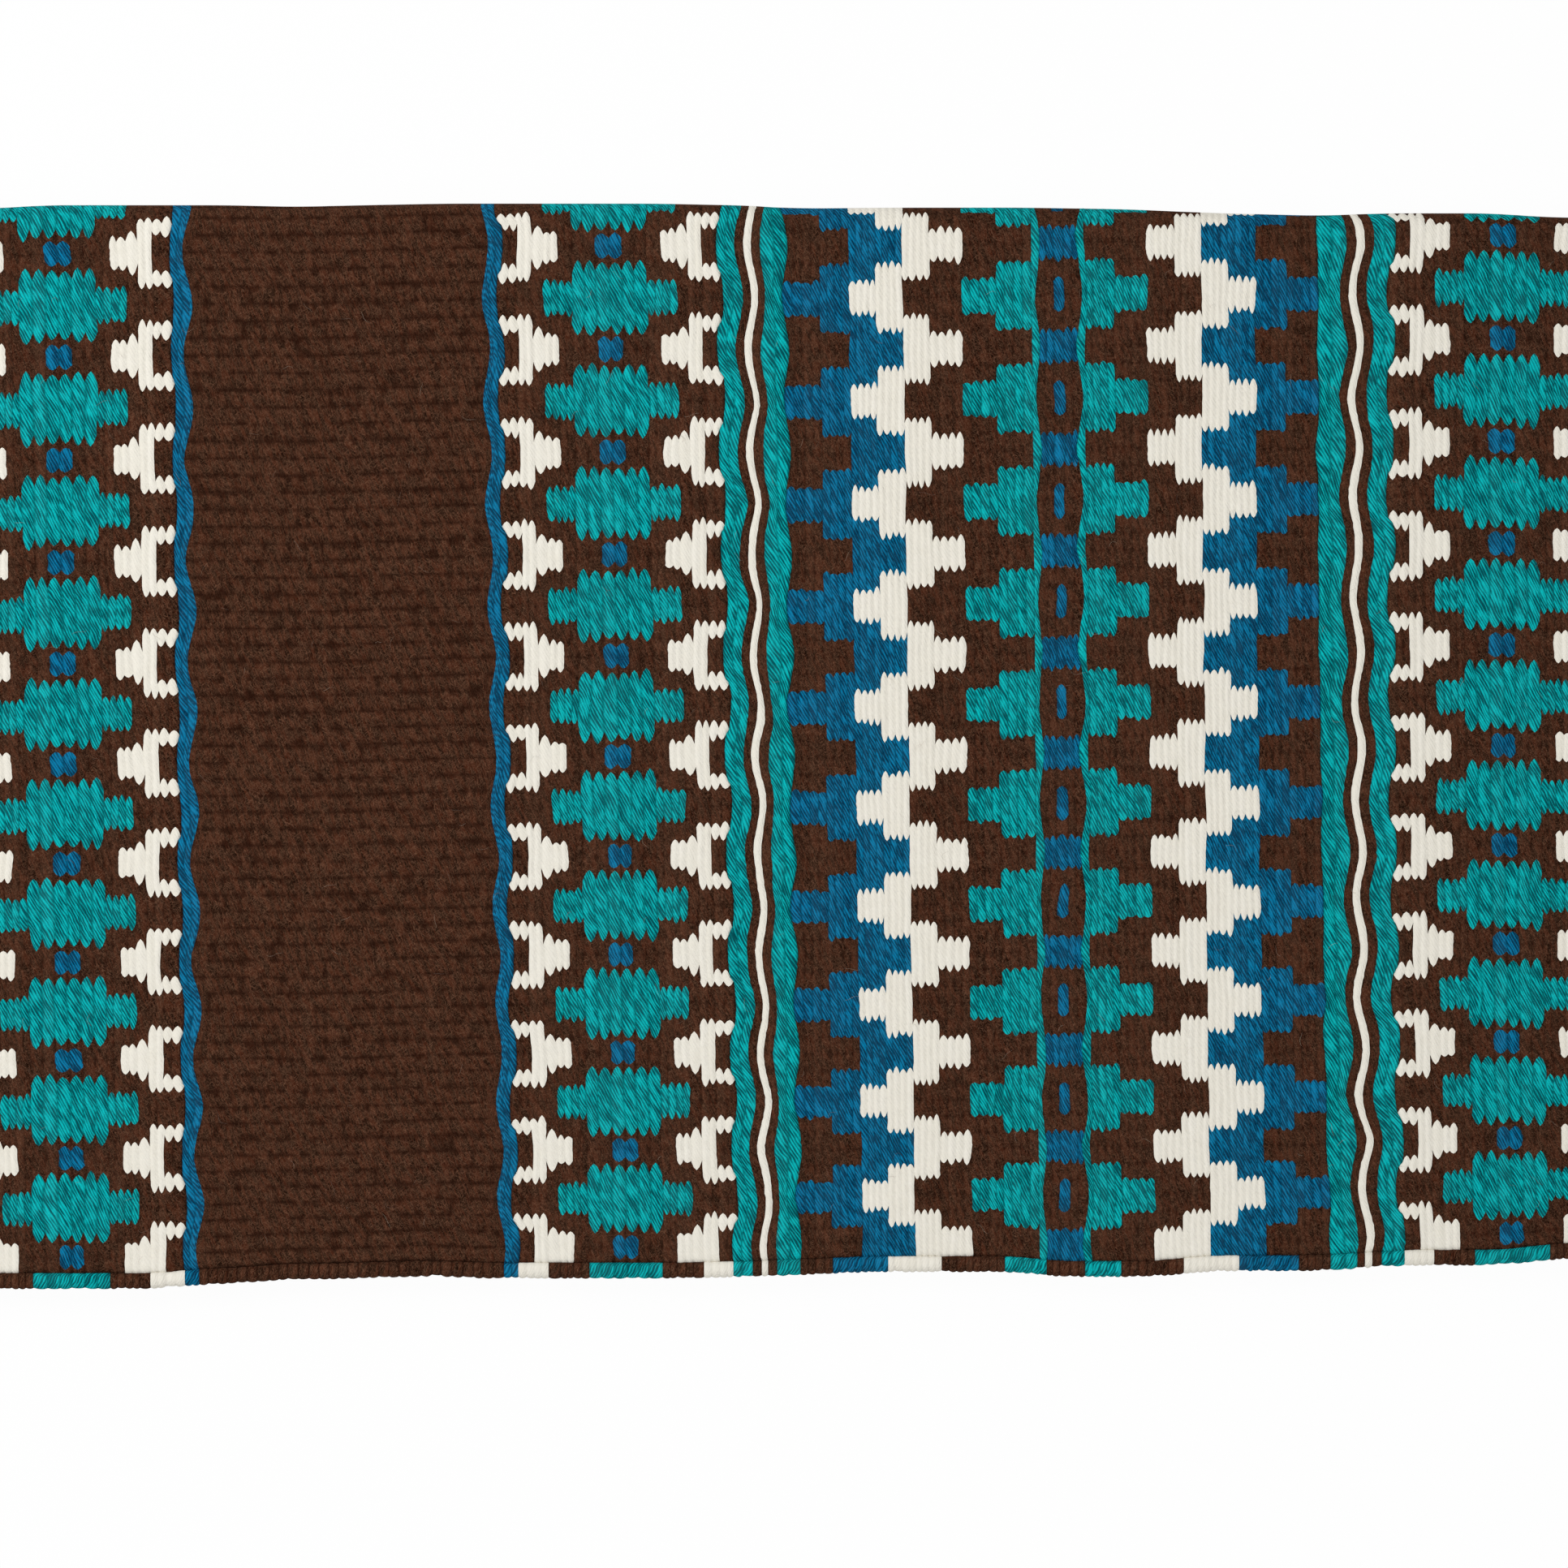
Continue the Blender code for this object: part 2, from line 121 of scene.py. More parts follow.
# How the cloth lies, as pairs of distance from the middle (a photograph's column for the
# edges) and amount. A diamond's rows push their neighbours aside: the swing. Slant and bow
# grow with the distance from a row that lies straight.
SWING = (
    (0, 0.0), (52, -0.2), (61.9, -1.4), (67, -1.5), (76, -0.2), (150, 0.3), (155, 1.4),
    (166, 1.4), (172, 0.9), (180, -1.4), (188, 0.0), (278, 0.0), (280, -0.9), (286, 0.0),
    (293, 0.0), (296, 1.3), (300, 0.3), (388, 0.0), (392, 0.3), (401, -1.35), (409, -1.45),
    (419.6, -1.7), (428, -0.3), (440, 0.0), (508.35, 0.0),
)
STRAIGHT_ROW = 211.7
SLANT = (
    (-508, 0.008), (-110, 0.0155), (-60, 0.0135), (0, 0.015), (62, 0.0175), (168, 0.017),
    (184, 0.015), (240, 0.012), (287, 0.007), (392, 0.012), (406, 0.011), (465, 0.009),
    (508, 0.009),
)
BOW = ((0, 0.0), (300, 0.0), (406, 4.2e-5), (508, 4.2e-5))
# Where an edge strays from its even place, and from the mirrored swing
STRAY = (
    (-130, 0.0), (-112, 0.7), (-80, 1.4), (-68, 1.8), (-66.8, 2.3), (-61.9, 3.3), (-40, 1.5),
    (0, 0.0), (50, 0.0), (61.9, -0.8), (66.8, 0.0), (154, 0.0), (161.3, 1.0), (165.5, 0.4),
    (168.5, 0.2), (172.6, -0.7), (181, -0.3), (200, 0.0), (380, 0.0), (392, -0.7), (401.5, -0.3),
    (406, -0.8), (413, -1.1), (420, 0.0),
)
STRAY_SWING = ((-76, 0.0), (-66.8, -0.7), (-61.9, 0.45), (-50, 0.0))
SHIFT = (
    (-508, 5.0), (-110, 3.5), (109, 1.0), (263, -1.3), (310, -3.0), (464, -7.6), (508, -8.8),
)
SPREAD = 4.3
SPREAD_SPAN = 420.0
FOLD_EDGE = (
    (-820, 253), (-400, 254), (5, 254), (60, 250), (280, 250), (370, 252), (460, 250),
    (560, 248), (820, 248), (910, 250), (1000, 254), (1120, 253), (1270, 253), (1390, 255),
    (1510, 260), (1630, 263), (1720, 260), (1840, 260), (1910, 265), (1990, 266),
)
HEM_EDGE = (
    (-820, 1580), (-400, 1584), (5, 1590), (180, 1590), (220, 1585), (280, 1583),
    (340, 1578), (400, 1578), (520, 1574), (580, 1577), (820, 1577), (910, 1575),
    (1000, 1572), (1060, 1569), (1240, 1569), (1300, 1575), (1420, 1575), (1480, 1568),
    (1600, 1568), (1660, 1565), (1720, 1561), (1840, 1561), (1900, 1554), (1990, 1549),
)
EDGE_SMOOTHING = 4.0
HEM_EASE_ROWS = 14


def pixel_x(column):
    """Distance from the blanket's middle of a column of the photograph."""
    return (column - PIXEL_OF_MIDDLE) * PIXEL


def pixel_y(row):
    """Distance up the cloth of a row of the photograph."""
    return FOLD_OUTSIDE - (row - PIXEL_OF_FOLD) * PIXEL


def read_pairs(pairs, x, mirrored=False):
    """Read a table of (place, amount) at x, along straight lines between its places."""
    places, amounts = np.array(pairs, float).T
    return np.interp(np.abs(x) if mirrored else x, places, amounts)


def read_edge(pairs, x):
    """Read an edge of the photographed cloth at x, as its place along Y."""
    columns, rows = np.array(pairs, float).T
    places, heights = pixel_x(columns), pixel_y(rows)
    steps = (-2, -1, 0, 1, 2)
    near = [np.interp(x + step * EDGE_SMOOTHING, places, heights) for step in steps]
    return sum(near) / len(steps)


def row_place(woven, x):
    """Distance from the fold, along the outside, of a place along the weaving at x."""
    shift = read_pairs(SHIFT, x)
    even = woven + shift + SPREAD * np.sin(math.pi * woven / SPREAD_SPAN)
    last = LAST_ROW * ROW
    spread = SPREAD * math.sin(math.pi * last / SPREAD_SPAN)
    to_hem = FOLD_ARC - FOLD_RADIUS + read_edge(FOLD_EDGE, x) - read_edge(HEM_EDGE, x)
    side = np.where(woven < 0, -1.0, 1.0)
    miss = to_hem - 2 * SELVEDGE_RADIUS - side * shift - last - spread
    ease_from = last - HEM_EASE_ROWS * ROW
    ease = np.clip((np.abs(woven) - ease_from) / (last - ease_from), 0, 1)
    return even + side * miss * ease * ease


def swing_of(woven):
    """Full at a diamond's rows and reversed midway between two."""
    return np.cos(2 * math.pi * woven / PERIOD)


def row_kind(row):
    """0 level with a diamond, 1 beside it, 2 midway between two."""
    return (0, 1, 2, 2, 1, 0)[row % ROWS_PER_PERIOD]


# How far a lighter yarn's floats reach past the line between two rows, and fall short of it
# beside them, by colour: brown, teal, blue, white
TIP_REACH = np.array((0.0, 0.5, 0.3, 0.45))
NOTCH_DEPTH = np.array((0.0, 2.1, 1.7, 2.1))
TIP_JITTER = 0.42
TIP_JITTER_LIMIT = 1.5
NOTCH_JITTER = 0.22
# Each yarn column's steps across and each row's along, and a tooth's outline over them
SUB = 4
ROUND_OFF = 1e-6
TOOTH_ROUNDING = (0.0, 0.7, 1.0, 0.7)

# How far a yarn column's edge wanders, alone and together with its neighbours
EDGE_WANDER = 0.3
EDGE_WANDER_KNOTS = 90
EDGE_WANDER_OWN = 0.55
EDGE_WANDER_SHARED = 0.75
EDGE_JITTER = 0.09
STEADY_WIDTH = 4.0
STEADIEST = 0.3

# A dot's column, its two rows and the way from each row's outer end to the dot's middle.
# The first and last quarter rows stay brown.
DOT_CODE = np.array((TEAL, TEAL, BLUE))
DOT_ROWS = ((2, 1), (3, -1))
DOT_ROUNDING = 2.0
DOT_JITTER = 0.1

# The plain field has its own relief, which fades out at its edge
FIELD_EDGE = 58.0
FIELD_FADE = 5.0
# Relief of the outside, measured in from the tops of the floats
FLOAT_BULGE = 0.55
FIELD_FLOAT_SHARE = 0.2
ROW_BULGE = 0.16
BROWN_ROW_BULGE = 0.32
FIELD_ROW_BULGE = 0.75
FIELD_BROAD_BULGE = 0.3
FLOAT_UNEVENNESS = 0.09
PUFF = np.array((0.0, 0.42, 0.16, 0.12))
RELIEF = 1.35
# How much of a point's depth in a crevice comes from its row, and the rest from its column. The
# depth sets the painted crevice shade and the inside's dip.
ROW_CREST = 0.1
BROWN_ROW_CREST = 0.5
FIELD_ROW_CREST = 0.92
ROW_CREST_POWER = 1.1
# Painted crevice shade also deepens in the plain field's broad valleys, and is made ragged along
# the grooves
BROAD_CREST = 0.25
GROOVE_JITTER = 0.75
BROWN_GROOVE_SHARE = 0.4


def per_face(values):
    """Repeat a value for each row and yarn column over their own faces of the grid."""
    return np.repeat(np.repeat(values, SUB, axis=0), SUB, axis=1)


def blur(faces):
    """Average each face with its neighbours, twice over."""
    for _ in range(2):
        padded = np.pad(faces, 1, mode="edge")
        faces = (padded[:-2, 1:-1] + padded[2:, 1:-1] + padded[1:-1, :-2] + padded[1:-1, 2:]
                 + 2 * padded[1:-1, 1:-1]) / 6
    return faces


def to_points(faces):
    """Spread face values to the grid's points."""
    padded = np.pad(faces, 1, mode="edge")
    return (padded[:-1, :-1] + padded[1:, :-1] + padded[:-1, 1:] + padded[1:, 1:]) / 4


class Loom:
    """The whole cloth on a flat grid: where each yarn column's edges lie and its colours."""

    def __init__(self):
        self.rng = np.random.default_rng(SEED)
        self.string_columns()
        self.lay_rows()
        self.shape_relief()

    def string_columns(self):
        """List the yarn columns from the left end to the right one, mirrored about the middle."""
        widths, codes, extras = [], [], []
        self.bands = {}
        for name, draft, band_width in BANDS:
            first = len(widths)
            scale = band_width / sum(run[1] for run in draft)
            for colours, width, count, *extra in draft:
                widths += [width * scale / count] * count
                codes += [[CODE[letter] for letter in colours]] * count
                extras += [(extra + [0.0, 0.0])[:2]] * count
            self.bands[name] = (first, len(widths))
        edges = np.concatenate(([0.0], np.cumsum(widths)))
        self.half = len(widths)
        self.count = 2 * self.half
        self.edges = np.concatenate((-edges[:0:-1], edges))
        self.codes = np.array(codes[::-1] + codes)
        self.reach, self.notch = np.array(extras[::-1] + extras).T
        self.dots = np.nonzero((self.codes == DOT_CODE).all(axis=1))[0]

    def columns_of(self, side, first_band, last_band):
        """First and past-last yarn column of neighbouring bands on one side."""
        first = self.bands[first_band][0]
        past = self.bands[last_band][1]
        if side == "right":
            return self.half + first, self.half + past
        return self.half - past, self.half - first

    def tooth_offsets(self, row):
        """How far the line below a row moves along the cloth, at column edges and middles."""
        below = self.codes[:, row_kind(row - 1)]
        above = self.codes[:, row_kind(row)]
        sign = np.sign(BITE_RANK[below] - BITE_RANK[above])
        light = np.where(sign > 0, below, above)
        beside_white = (self.codes == WHITE).any(axis=1) & (light != WHITE)
        reach = TIP_REACH[light] + np.where(beside_white, 0.0, self.reach)
        jitter = np.clip(self.rng.normal(0, 1, self.count), -TIP_JITTER_LIMIT, TIP_JITTER_LIMIT)
        middle = sign * (reach + jitter * TIP_JITTER)
        notch = -sign * (NOTCH_DEPTH[light] + self.notch)
        cut = (notch != 0).astype(float)
        beside = np.pad(cut, (0, 1)) + np.pad(cut, (1, 0))
        edge = (np.pad(notch, (0, 1)) + np.pad(notch, (1, 0))) / np.maximum(beside, 1)
        edge += (beside > 0) * self.rng.normal(0, NOTCH_JITTER, self.count + 1)
        return edge, middle

    def lay_rows(self):
        """Place every point of the grid: x across the bands, woven along the rows."""
        rows = np.arange(-LAST_ROW, LAST_ROW + 1)
        teeth = np.zeros((len(rows), self.count * SUB + 1))
        for line, row in enumerate(rows):
            edge, middle = self.tooth_offsets(row)
            for step, share in enumerate(TOOTH_ROUNDING):
                near = edge[:-1] if step <= SUB // 2 else edge[1:]
                teeth[line, step:-1:SUB] = near + (middle - near) * share
            teeth[line, -1] = edge[-1]
        teeth[[0, -1], :] = 0.0
        lines = np.arange((len(rows) - 1) * SUB + 1)
        low = np.minimum(lines // SUB, len(rows) - 2)
        part = (lines / SUB - low)[:, None]
        shift = teeth[low] * (1 - part) + teeth[low + 1] * part
        self.line_place = (lines / SUB - LAST_ROW) * ROW
        self.round_dots(shift)
        self.woven = self.line_place[:, None] + shift
        edge_x = self.wander_edges()
        steps = np.arange(self.count * SUB + 1)
        column = np.minimum(steps // SUB, self.count - 1)
        self.share = steps / SUB - column
        self.flat_x = self.edges[column] * (1 - self.share) + self.edges[column + 1] * self.share
        self.x = edge_x[:, column] * (1 - self.share) + edge_x[:, column + 1] * self.share
        self.from_fold = row_place(self.woven, self.flat_x[None, :])

    def round_dots(self, shift):
        """Round off the blue dots, which stop short of the diamonds above and below."""
        lines = np.arange(len(self.line_place) - 1)
        row = (lines // SUB - LAST_ROW) % ROWS_PER_PERIOD
        inward = DOT_ROUNDING * (1 - np.sin(math.pi * np.arange(SUB + 1) / SUB))
        for dot in self.dots:
            points = np.arange(dot * SUB, dot * SUB + SUB + 1)
            for offset, way in DOT_ROWS:
                ends = lines[(row == offset) & (lines % SUB == 0)]
                amount = inward + self.rng.normal(0, DOT_JITTER, (len(ends), SUB + 1))
                for part in range(1, SUB):
                    step = part if way > 0 else SUB - part
                    shift[np.ix_(ends + step, points)] = way * amount * (SUB - part) / (SUB - 1)

    def wander_edges(self):
        """Where each column edge lies on every line of the grid."""
        woven = self.line_place[:, None]
        place = np.abs(row_place(woven, self.edges[None, :])) - STRAIGHT_ROW
        turn = swing_of(woven)
        swing = np.sign(self.edges) * read_pairs(SWING, self.edges, mirrored=True) * turn
        stray = read_pairs(STRAY, self.edges) + read_pairs(STRAY_SWING, self.edges) * turn
        slant = read_pairs(SLANT, self.edges) * place
        bow = read_pairs(BOW, self.edges) * place * place
        knots = np.linspace(self.line_place[0], self.line_place[-1], EDGE_WANDER_KNOTS)
        draws = self.rng.normal(0, EDGE_WANDER, (len(knots), self.count + 1))
        shared = (draws[:, :-2] + draws[:, 1:-1] + draws[:, 2:]) / math.sqrt(3)
        draws[:, 1:-1] = EDGE_WANDER_OWN * draws[:, 1:-1] + EDGE_WANDER_SHARED * shared
        wander = np.array([np.interp(self.line_place, knots, draw) for draw in draws.T]).T
        wander += self.rng.normal(0, EDGE_JITTER, wander.shape)
        widths = np.concatenate(([math.inf], np.diff(self.edges), [math.inf]))
        narrow = np.minimum(widths[:-1], widths[1:])
        wander *= np.clip(narrow / STEADY_WIDTH, STEADIEST, 1.0)
        return self.edges + stray + swing + slant + bow + wander

    def colour_faces(self):
        """Find the colour of every face of the grid, as its place in WOOLS."""
        rows = range(-LAST_ROW, LAST_ROW)
        faces = per_face(np.array([self.codes[:, row_kind(row)] for row in rows]))
        line = np.arange(len(faces))
        row = (line // SUB - LAST_ROW) % ROWS_PER_PERIOD
        dot_steps = (self.dots[:, None] * SUB + np.arange(SUB)).ravel()
        for offset, way in DOT_ROWS:
            end = 0 if way > 0 else SUB - 1
            faces[np.ix_((row == offset) & (line % SUB == end), dot_steps)] = BROWN
        return faces

    def shape_relief(self):
        """Height of the outside and how deep each point lies in a crevice, which sets the painted
        crevice shade.
        """
        row = self.line_place / ROW
        across = np.sin(math.pi * np.clip(self.share, 0, 1))
        along = np.sin(math.pi * np.clip(np.abs(row - np.floor(row + ROUND_OFF)), 0, 1))[:, None]
        in_field = 1 - np.clip((np.abs(self.flat_x) - FIELD_EDGE) / FIELD_FADE, 0, 1)
        broad = 0.5 + 0.5 * np.cos(2 * math.pi * (self.line_place - ROW / 2) / BROAD_RIB)[:, None]
        self.face_colours = self.colour_faces()
        tones = np.repeat(self.rng.random(self.count), SUB)
        tones = tones * (1 - in_field[:-1]) + 0.5 * in_field[:-1]
        self.face_tones = np.broadcast_to(tones, self.face_colours.shape)
        brown = to_points((self.face_colours == BROWN).astype(float))
        puff = blur(PUFF[self.face_colours])
        uneven = self.rng.normal(0, FLOAT_UNEVENNESS, (2 * LAST_ROW, self.count))
        row_bulge = ROW_BULGE + (BROWN_ROW_BULGE - ROW_BULGE) * brown
        row_bulge += (FIELD_ROW_BULGE - row_bulge) * in_field
        float_bulge = FLOAT_BULGE * (1 - (1 - FIELD_FLOAT_SHARE) * in_field)
        height = float_bulge * across + row_bulge * along
        height += FIELD_BROAD_BULGE * in_field * broad
        height += to_points(puff) + to_points(blur(per_face(uneven)))
        self.height = height - RELIEF
        row_share = ROW_CREST + (BROWN_ROW_CREST - ROW_CREST) * brown
        row_share += (FIELD_ROW_CREST - row_share) * in_field
        crest = across * (1 - row_share) + along ** ROW_CREST_POWER * row_share
        # Painted shade: deeper in the field's broad valleys, and ragged along the grooves
        crest *= 1 - BROAD_CREST * in_field * (1 - broad)
        ragged = blur(self.rng.normal(0, GROOVE_JITTER, crest.shape))
        crest += ragged * (in_field + BROWN_GROOVE_SHARE * brown * (1 - in_field))
        self.crest = np.clip(crest, 0, 1)


# The fold and the cloth's rims. The inside opens into a small hollow at the fold.
HOLLOW_RADIUS = 2.0
HOLLOW_TAPER = 10.0
EDGE_EASE = 40.0
FOLD_CALM = 3.0
FOLD_SINK = 0.3
# Crest near the fold, high enough that no painted crevice shade lies there
FOLD_CREST = 0.5
# Rows that reach past the fold, and how close to it two lines may come
SPARE_ROWS = 2
SQUEEZED_LINE = 0.02
FLOOR_CLEARANCE = 0.02
INNER_RELIEF = 0.45
HEM_ROUNDING = 0.7
HEM_ROUNDING_LENGTH = 1.6
END_ROUNDING = 1.6
END_ROUNDING_LENGTH = 4.5
END_CORD_BULGE = 2.3
END_CORD_TWIST = 0.35
END_CORD_TURN = 4
END_CORD_RINGS = 3
# Crest of the end cord, high enough that no painted crevice shade lies on it
END_CORD_CREST = 0.7
BAKE_MARGIN = 0.012
INNER_STEP = 2


def smooth(share):
    """Ease from 0 to 1."""
    share = np.clip(share, 0, 1)
    return share * share * (3 - 2 * share)


def rounding(distance, length, depth):
    """How far a rounded edge has dropped at a distance from its end."""
    near = 1 - np.clip(distance / length, 0, 1)
    return depth * (1 - np.sqrt(np.clip(1 - near * near, 0, 1)))


def on_outside(x, from_fold, height, way):
    """Place points on the outside of the folded cloth: way is 1 for the upper half, -1 below."""
    centre = read_edge(FOLD_EDGE, x) - FOLD_RADIUS
    angle = np.minimum(from_fold / FOLD_RADIUS, math.pi / 2)
    radius = FOLD_RADIUS + height
    y = centre + radius * np.cos(angle) - np.maximum(from_fold - FOLD_ARC, 0)
    return y, FOLD_CENTRE_Z + way * radius * np.sin(angle)


def on_inside(x, from_fold, dip, way):
    """Place points on the inside, which opens into a small hollow at the fold."""
    shift = read_edge(FOLD_EDGE, x) - FOLD_CENTRE_Y - FOLD_RADIUS
    angle = np.minimum(from_fold / FOLD_RADIUS, math.pi / 2)
    past = np.maximum(from_fold - FOLD_ARC, 0)
    half_gap = HOLLOW_RADIUS + (LAYER_GAP / 2 - HOLLOW_RADIUS) * smooth(past / HOLLOW_TAPER) + dip
    y = FOLD_CENTRE_Y + (HOLLOW_RADIUS + dip) * np.cos(angle) - past
    return y + shift * smooth(past / EDGE_EASE), FOLD_CENTRE_Z + way * half_gap * np.sin(angle)


class Half:
    """One half of the cloth between two yarn columns, from the fold to the hem."""

    def __init__(self, loom, first, past, way):
        across = slice(first * SUB, past * SUB + 1)
        middle = LAST_ROW * SUB
        start = middle - way * SPARE_ROWS * SUB
        order = np.arange(start, middle + way * (middle + 1), way)
        from_fold = way * loom.from_fold[order, across]
        kept = from_fold.max(axis=1) > SQUEEZED_LINE
        order, from_fold = order[kept], from_fold[kept]
        least = SQUEEZED_LINE * (1 + np.arange(len(order)))[:, None]
        apex = np.zeros((1, from_fold.shape[1]))
        self.from_fold = np.vstack((apex, np.maximum(from_fold, least)))
        order = np.append(order[0], order)
        self.x = loom.x[order, across]
        self.flat_x = np.broadcast_to(loom.flat_x[across], self.x.shape)
        self.woven = loom.woven[order, across]
        from_end = BLANKET_END - np.abs(self.flat_x)
        from_hem = self.from_fold[-1] - self.from_fold
        edge_drop = rounding(from_hem, HEM_ROUNDING_LENGTH, HEM_ROUNDING)
        edge_drop += rounding(from_end, END_ROUNDING_LENGTH, END_ROUNDING)
        clear = smooth(self.from_fold / FOLD_CALM)
        height = loom.height[order, across] * clear - edge_drop
        height -= (1 - clear) * FOLD_SINK
        self.height = np.clip(height, -THICKNESS / 2, -FLOOR_CLEARANCE)
        self.crest = loom.crest[order, across] * clear + FOLD_CREST * (1 - clear)
        self.dip = INNER_RELIEF * (1 - self.crest) + edge_drop
        faces = np.ix_(np.minimum(order[:-1], order[1:]), np.arange(first * SUB, past * SUB))
        self.colours = loom.face_colours[faces]
        self.tones = loom.face_tones[faces]


def subset(count, step):
    """Every step-th place counted back from the last one, with the first one kept."""
    return np.array([*range(count - 1, 0, -step), 0][::-1])


def together(*parts):
    """Join values that share a grid as the parts of one place."""
    return np.stack(np.broadcast_arrays(*parts), axis=-1)


def cell_corners(grid):
    """The four corners of each cell of a grid, in order round it."""
    return np.stack((grid[:-1, :-1], grid[1:, :-1], grid[1:, 1:], grid[:-1, 1:]), axis=2)


class Shell:
    """Collects a mesh's points and faces, with what its materials read from them."""

    def __init__(self):
        self.points, self.cloth, self.bake, self.crest = [], [], [], []
        self.faces, self.colours, self.tones, self.corner_bake = [], [], [], []
        self.size = 0

    def add_points(self, xyz, cloth, bake, crest):
        """Add points and return their numbers, shaped as the points are."""
        shape = xyz.shape[:-1]
        self.points.append(xyz.reshape(-1, 3))
        self.cloth.append(np.broadcast_to(cloth, shape + (2,)).reshape(-1, 2))
        self.bake.append(np.broadcast_to(bake, shape + (2,)).reshape(-1, 2))
        self.crest.append(np.broadcast_to(crest, shape).ravel())
        first = self.size
        self.size += int(np.prod(shape))
        return np.arange(first, self.size).reshape(shape)

    def add_faces(self, corners, colours, tones, corner_bake=None):
        """Add faces of as many corners each, which may have their own places in the bake."""
        self.faces.append(corners)
        self.colours.append(np.ravel(colours))
        self.tones.append(np.ravel(tones))
        self.corner_bake.append(corner_bake)

    def add_grid(self, numbers, colours, tones, flip):
        """Add the quads of a grid of points."""
        corners = cell_corners(numbers).reshape(-1, 4)
        self.add_faces(corners[:, ::-1] if flip else corners, colours, tones)

    def add_face(self, corners, colour, tone, bake, flip):
        """Add one face of any number of corners, with its own place in the bake."""
        turn = -1 if flip else 1
        self.add_faces(np.array([corners[::turn]]), colour, tone, bake[::turn])

    def make(self, name, materials):
        """Build the mesh object."""
        points = np.concatenate(self.points) * MM
        cloth = np.concatenate(self.cloth) * MM
        totals = np.concatenate([np.full(len(faces), faces.shape[1]) for faces in self.faces])
        corners = np.concatenate([faces.ravel() for faces in self.faces])
        starts = np.append(0, np.cumsum(totals)[:-1])
        bake = np.concatenate(self.bake)[corners]
        place = 0
        for faces, own in zip(self.faces, self.corner_bake):
            if own is not None:
                bake[place:place + faces.size] = own
            place += faces.size
        mesh = bpy.data.meshes.new(name)
        mesh.vertices.add(len(points))
        mesh.loops.add(len(corners))
        mesh.polygons.add(len(totals))
        mesh.vertices.foreach_set("co", points.astype(np.float32).ravel())
        mesh.loops.foreach_set("vertex_index", corners.astype(np.int32))
        for key, values in (("loop_start", starts), ("loop_total", totals),
                            ("material_index", np.concatenate(self.colours))):
            mesh.polygons.foreach_set(key, values.astype(np.int32))
        mesh.polygons.foreach_set("use_smooth", np.ones(len(totals), bool))
        mesh.update(calc_edges=True)
        for label, places in (("cloth", cloth[corners]), ("OFBake", bake)):
            layer = mesh.uv_layers.new(name=label)
            layer.uv.foreach_set("vector", places.astype(np.float32).ravel())
        for label, domain, values in (("crest", "POINT", self.crest), ("tone", "FACE", self.tones)):
            layer = mesh.attributes.new(label, "FLOAT", domain)
            layer.data.foreach_set("value", np.concatenate(values).astype(np.float32))
        for material in materials:
            mesh.materials.append(material)
        mesh.validate()
        piece = bpy.data.objects.new(name, mesh)
        bpy.context.scene.collection.objects.link(piece)
        return piece


def close_edge(shell, edge, turned):
    """Close one edge of the cloth. edge gives the point numbers along the outside, the places
    in it that the inside's points face, the inside's numbers, any rings between the two, the
    colour and tone of each stretch, and the outside's place in the bake with its margin."""
    outside, picks, inside, rings, colours, tones, bake, margin = edge
    levels = [outside[picks], *rings, inside]
    steps = len(levels) - 1
    for place, (low, high) in enumerate(zip(picks[:-1], picks[1:])):
        for level in range(steps):
            near, near_bake = levels[level][place:place + 2], bake[[low, high]]
            if level == 0:
                near, near_bake = outside[low:high + 1], bake[low:high + 1]
            corners = np.append(near, levels[level + 1][place:place + 2][::-1])
            own = np.concatenate((near_bake + margin * level / steps,
                                  bake[[high, low]] + margin * (level + 1) / steps))
            shell.add_face(corners, colours[place], tones[place], own, turned)


def end_cord(shell, outer_xyz, inner_xyz, cloth, bake, margin):
    """Rings of points that round the cloth's end outwards, twisted as its cord is."""
    out = np.sign(outer_xyz[:, :1])
    turn = 2 * math.pi * np.arange(len(inner_xyz)) / END_CORD_TURN
    bulge = END_CORD_BULGE + END_CORD_TWIST * np.sin(turn)[:, None]
    rings = []
    for ring in range(1, END_CORD_RINGS + 1):
        share = ring / (END_CORD_RINGS + 1)
        place = outer_xyz + (inner_xyz - outer_xyz) * (1 - math.cos(math.pi * share)) / 2
        place[:, :1] += out * (bulge * math.sin(math.pi * share))
        rings.append(shell.add_points(place, cloth, bake + margin * share, END_CORD_CREST))
    return rings


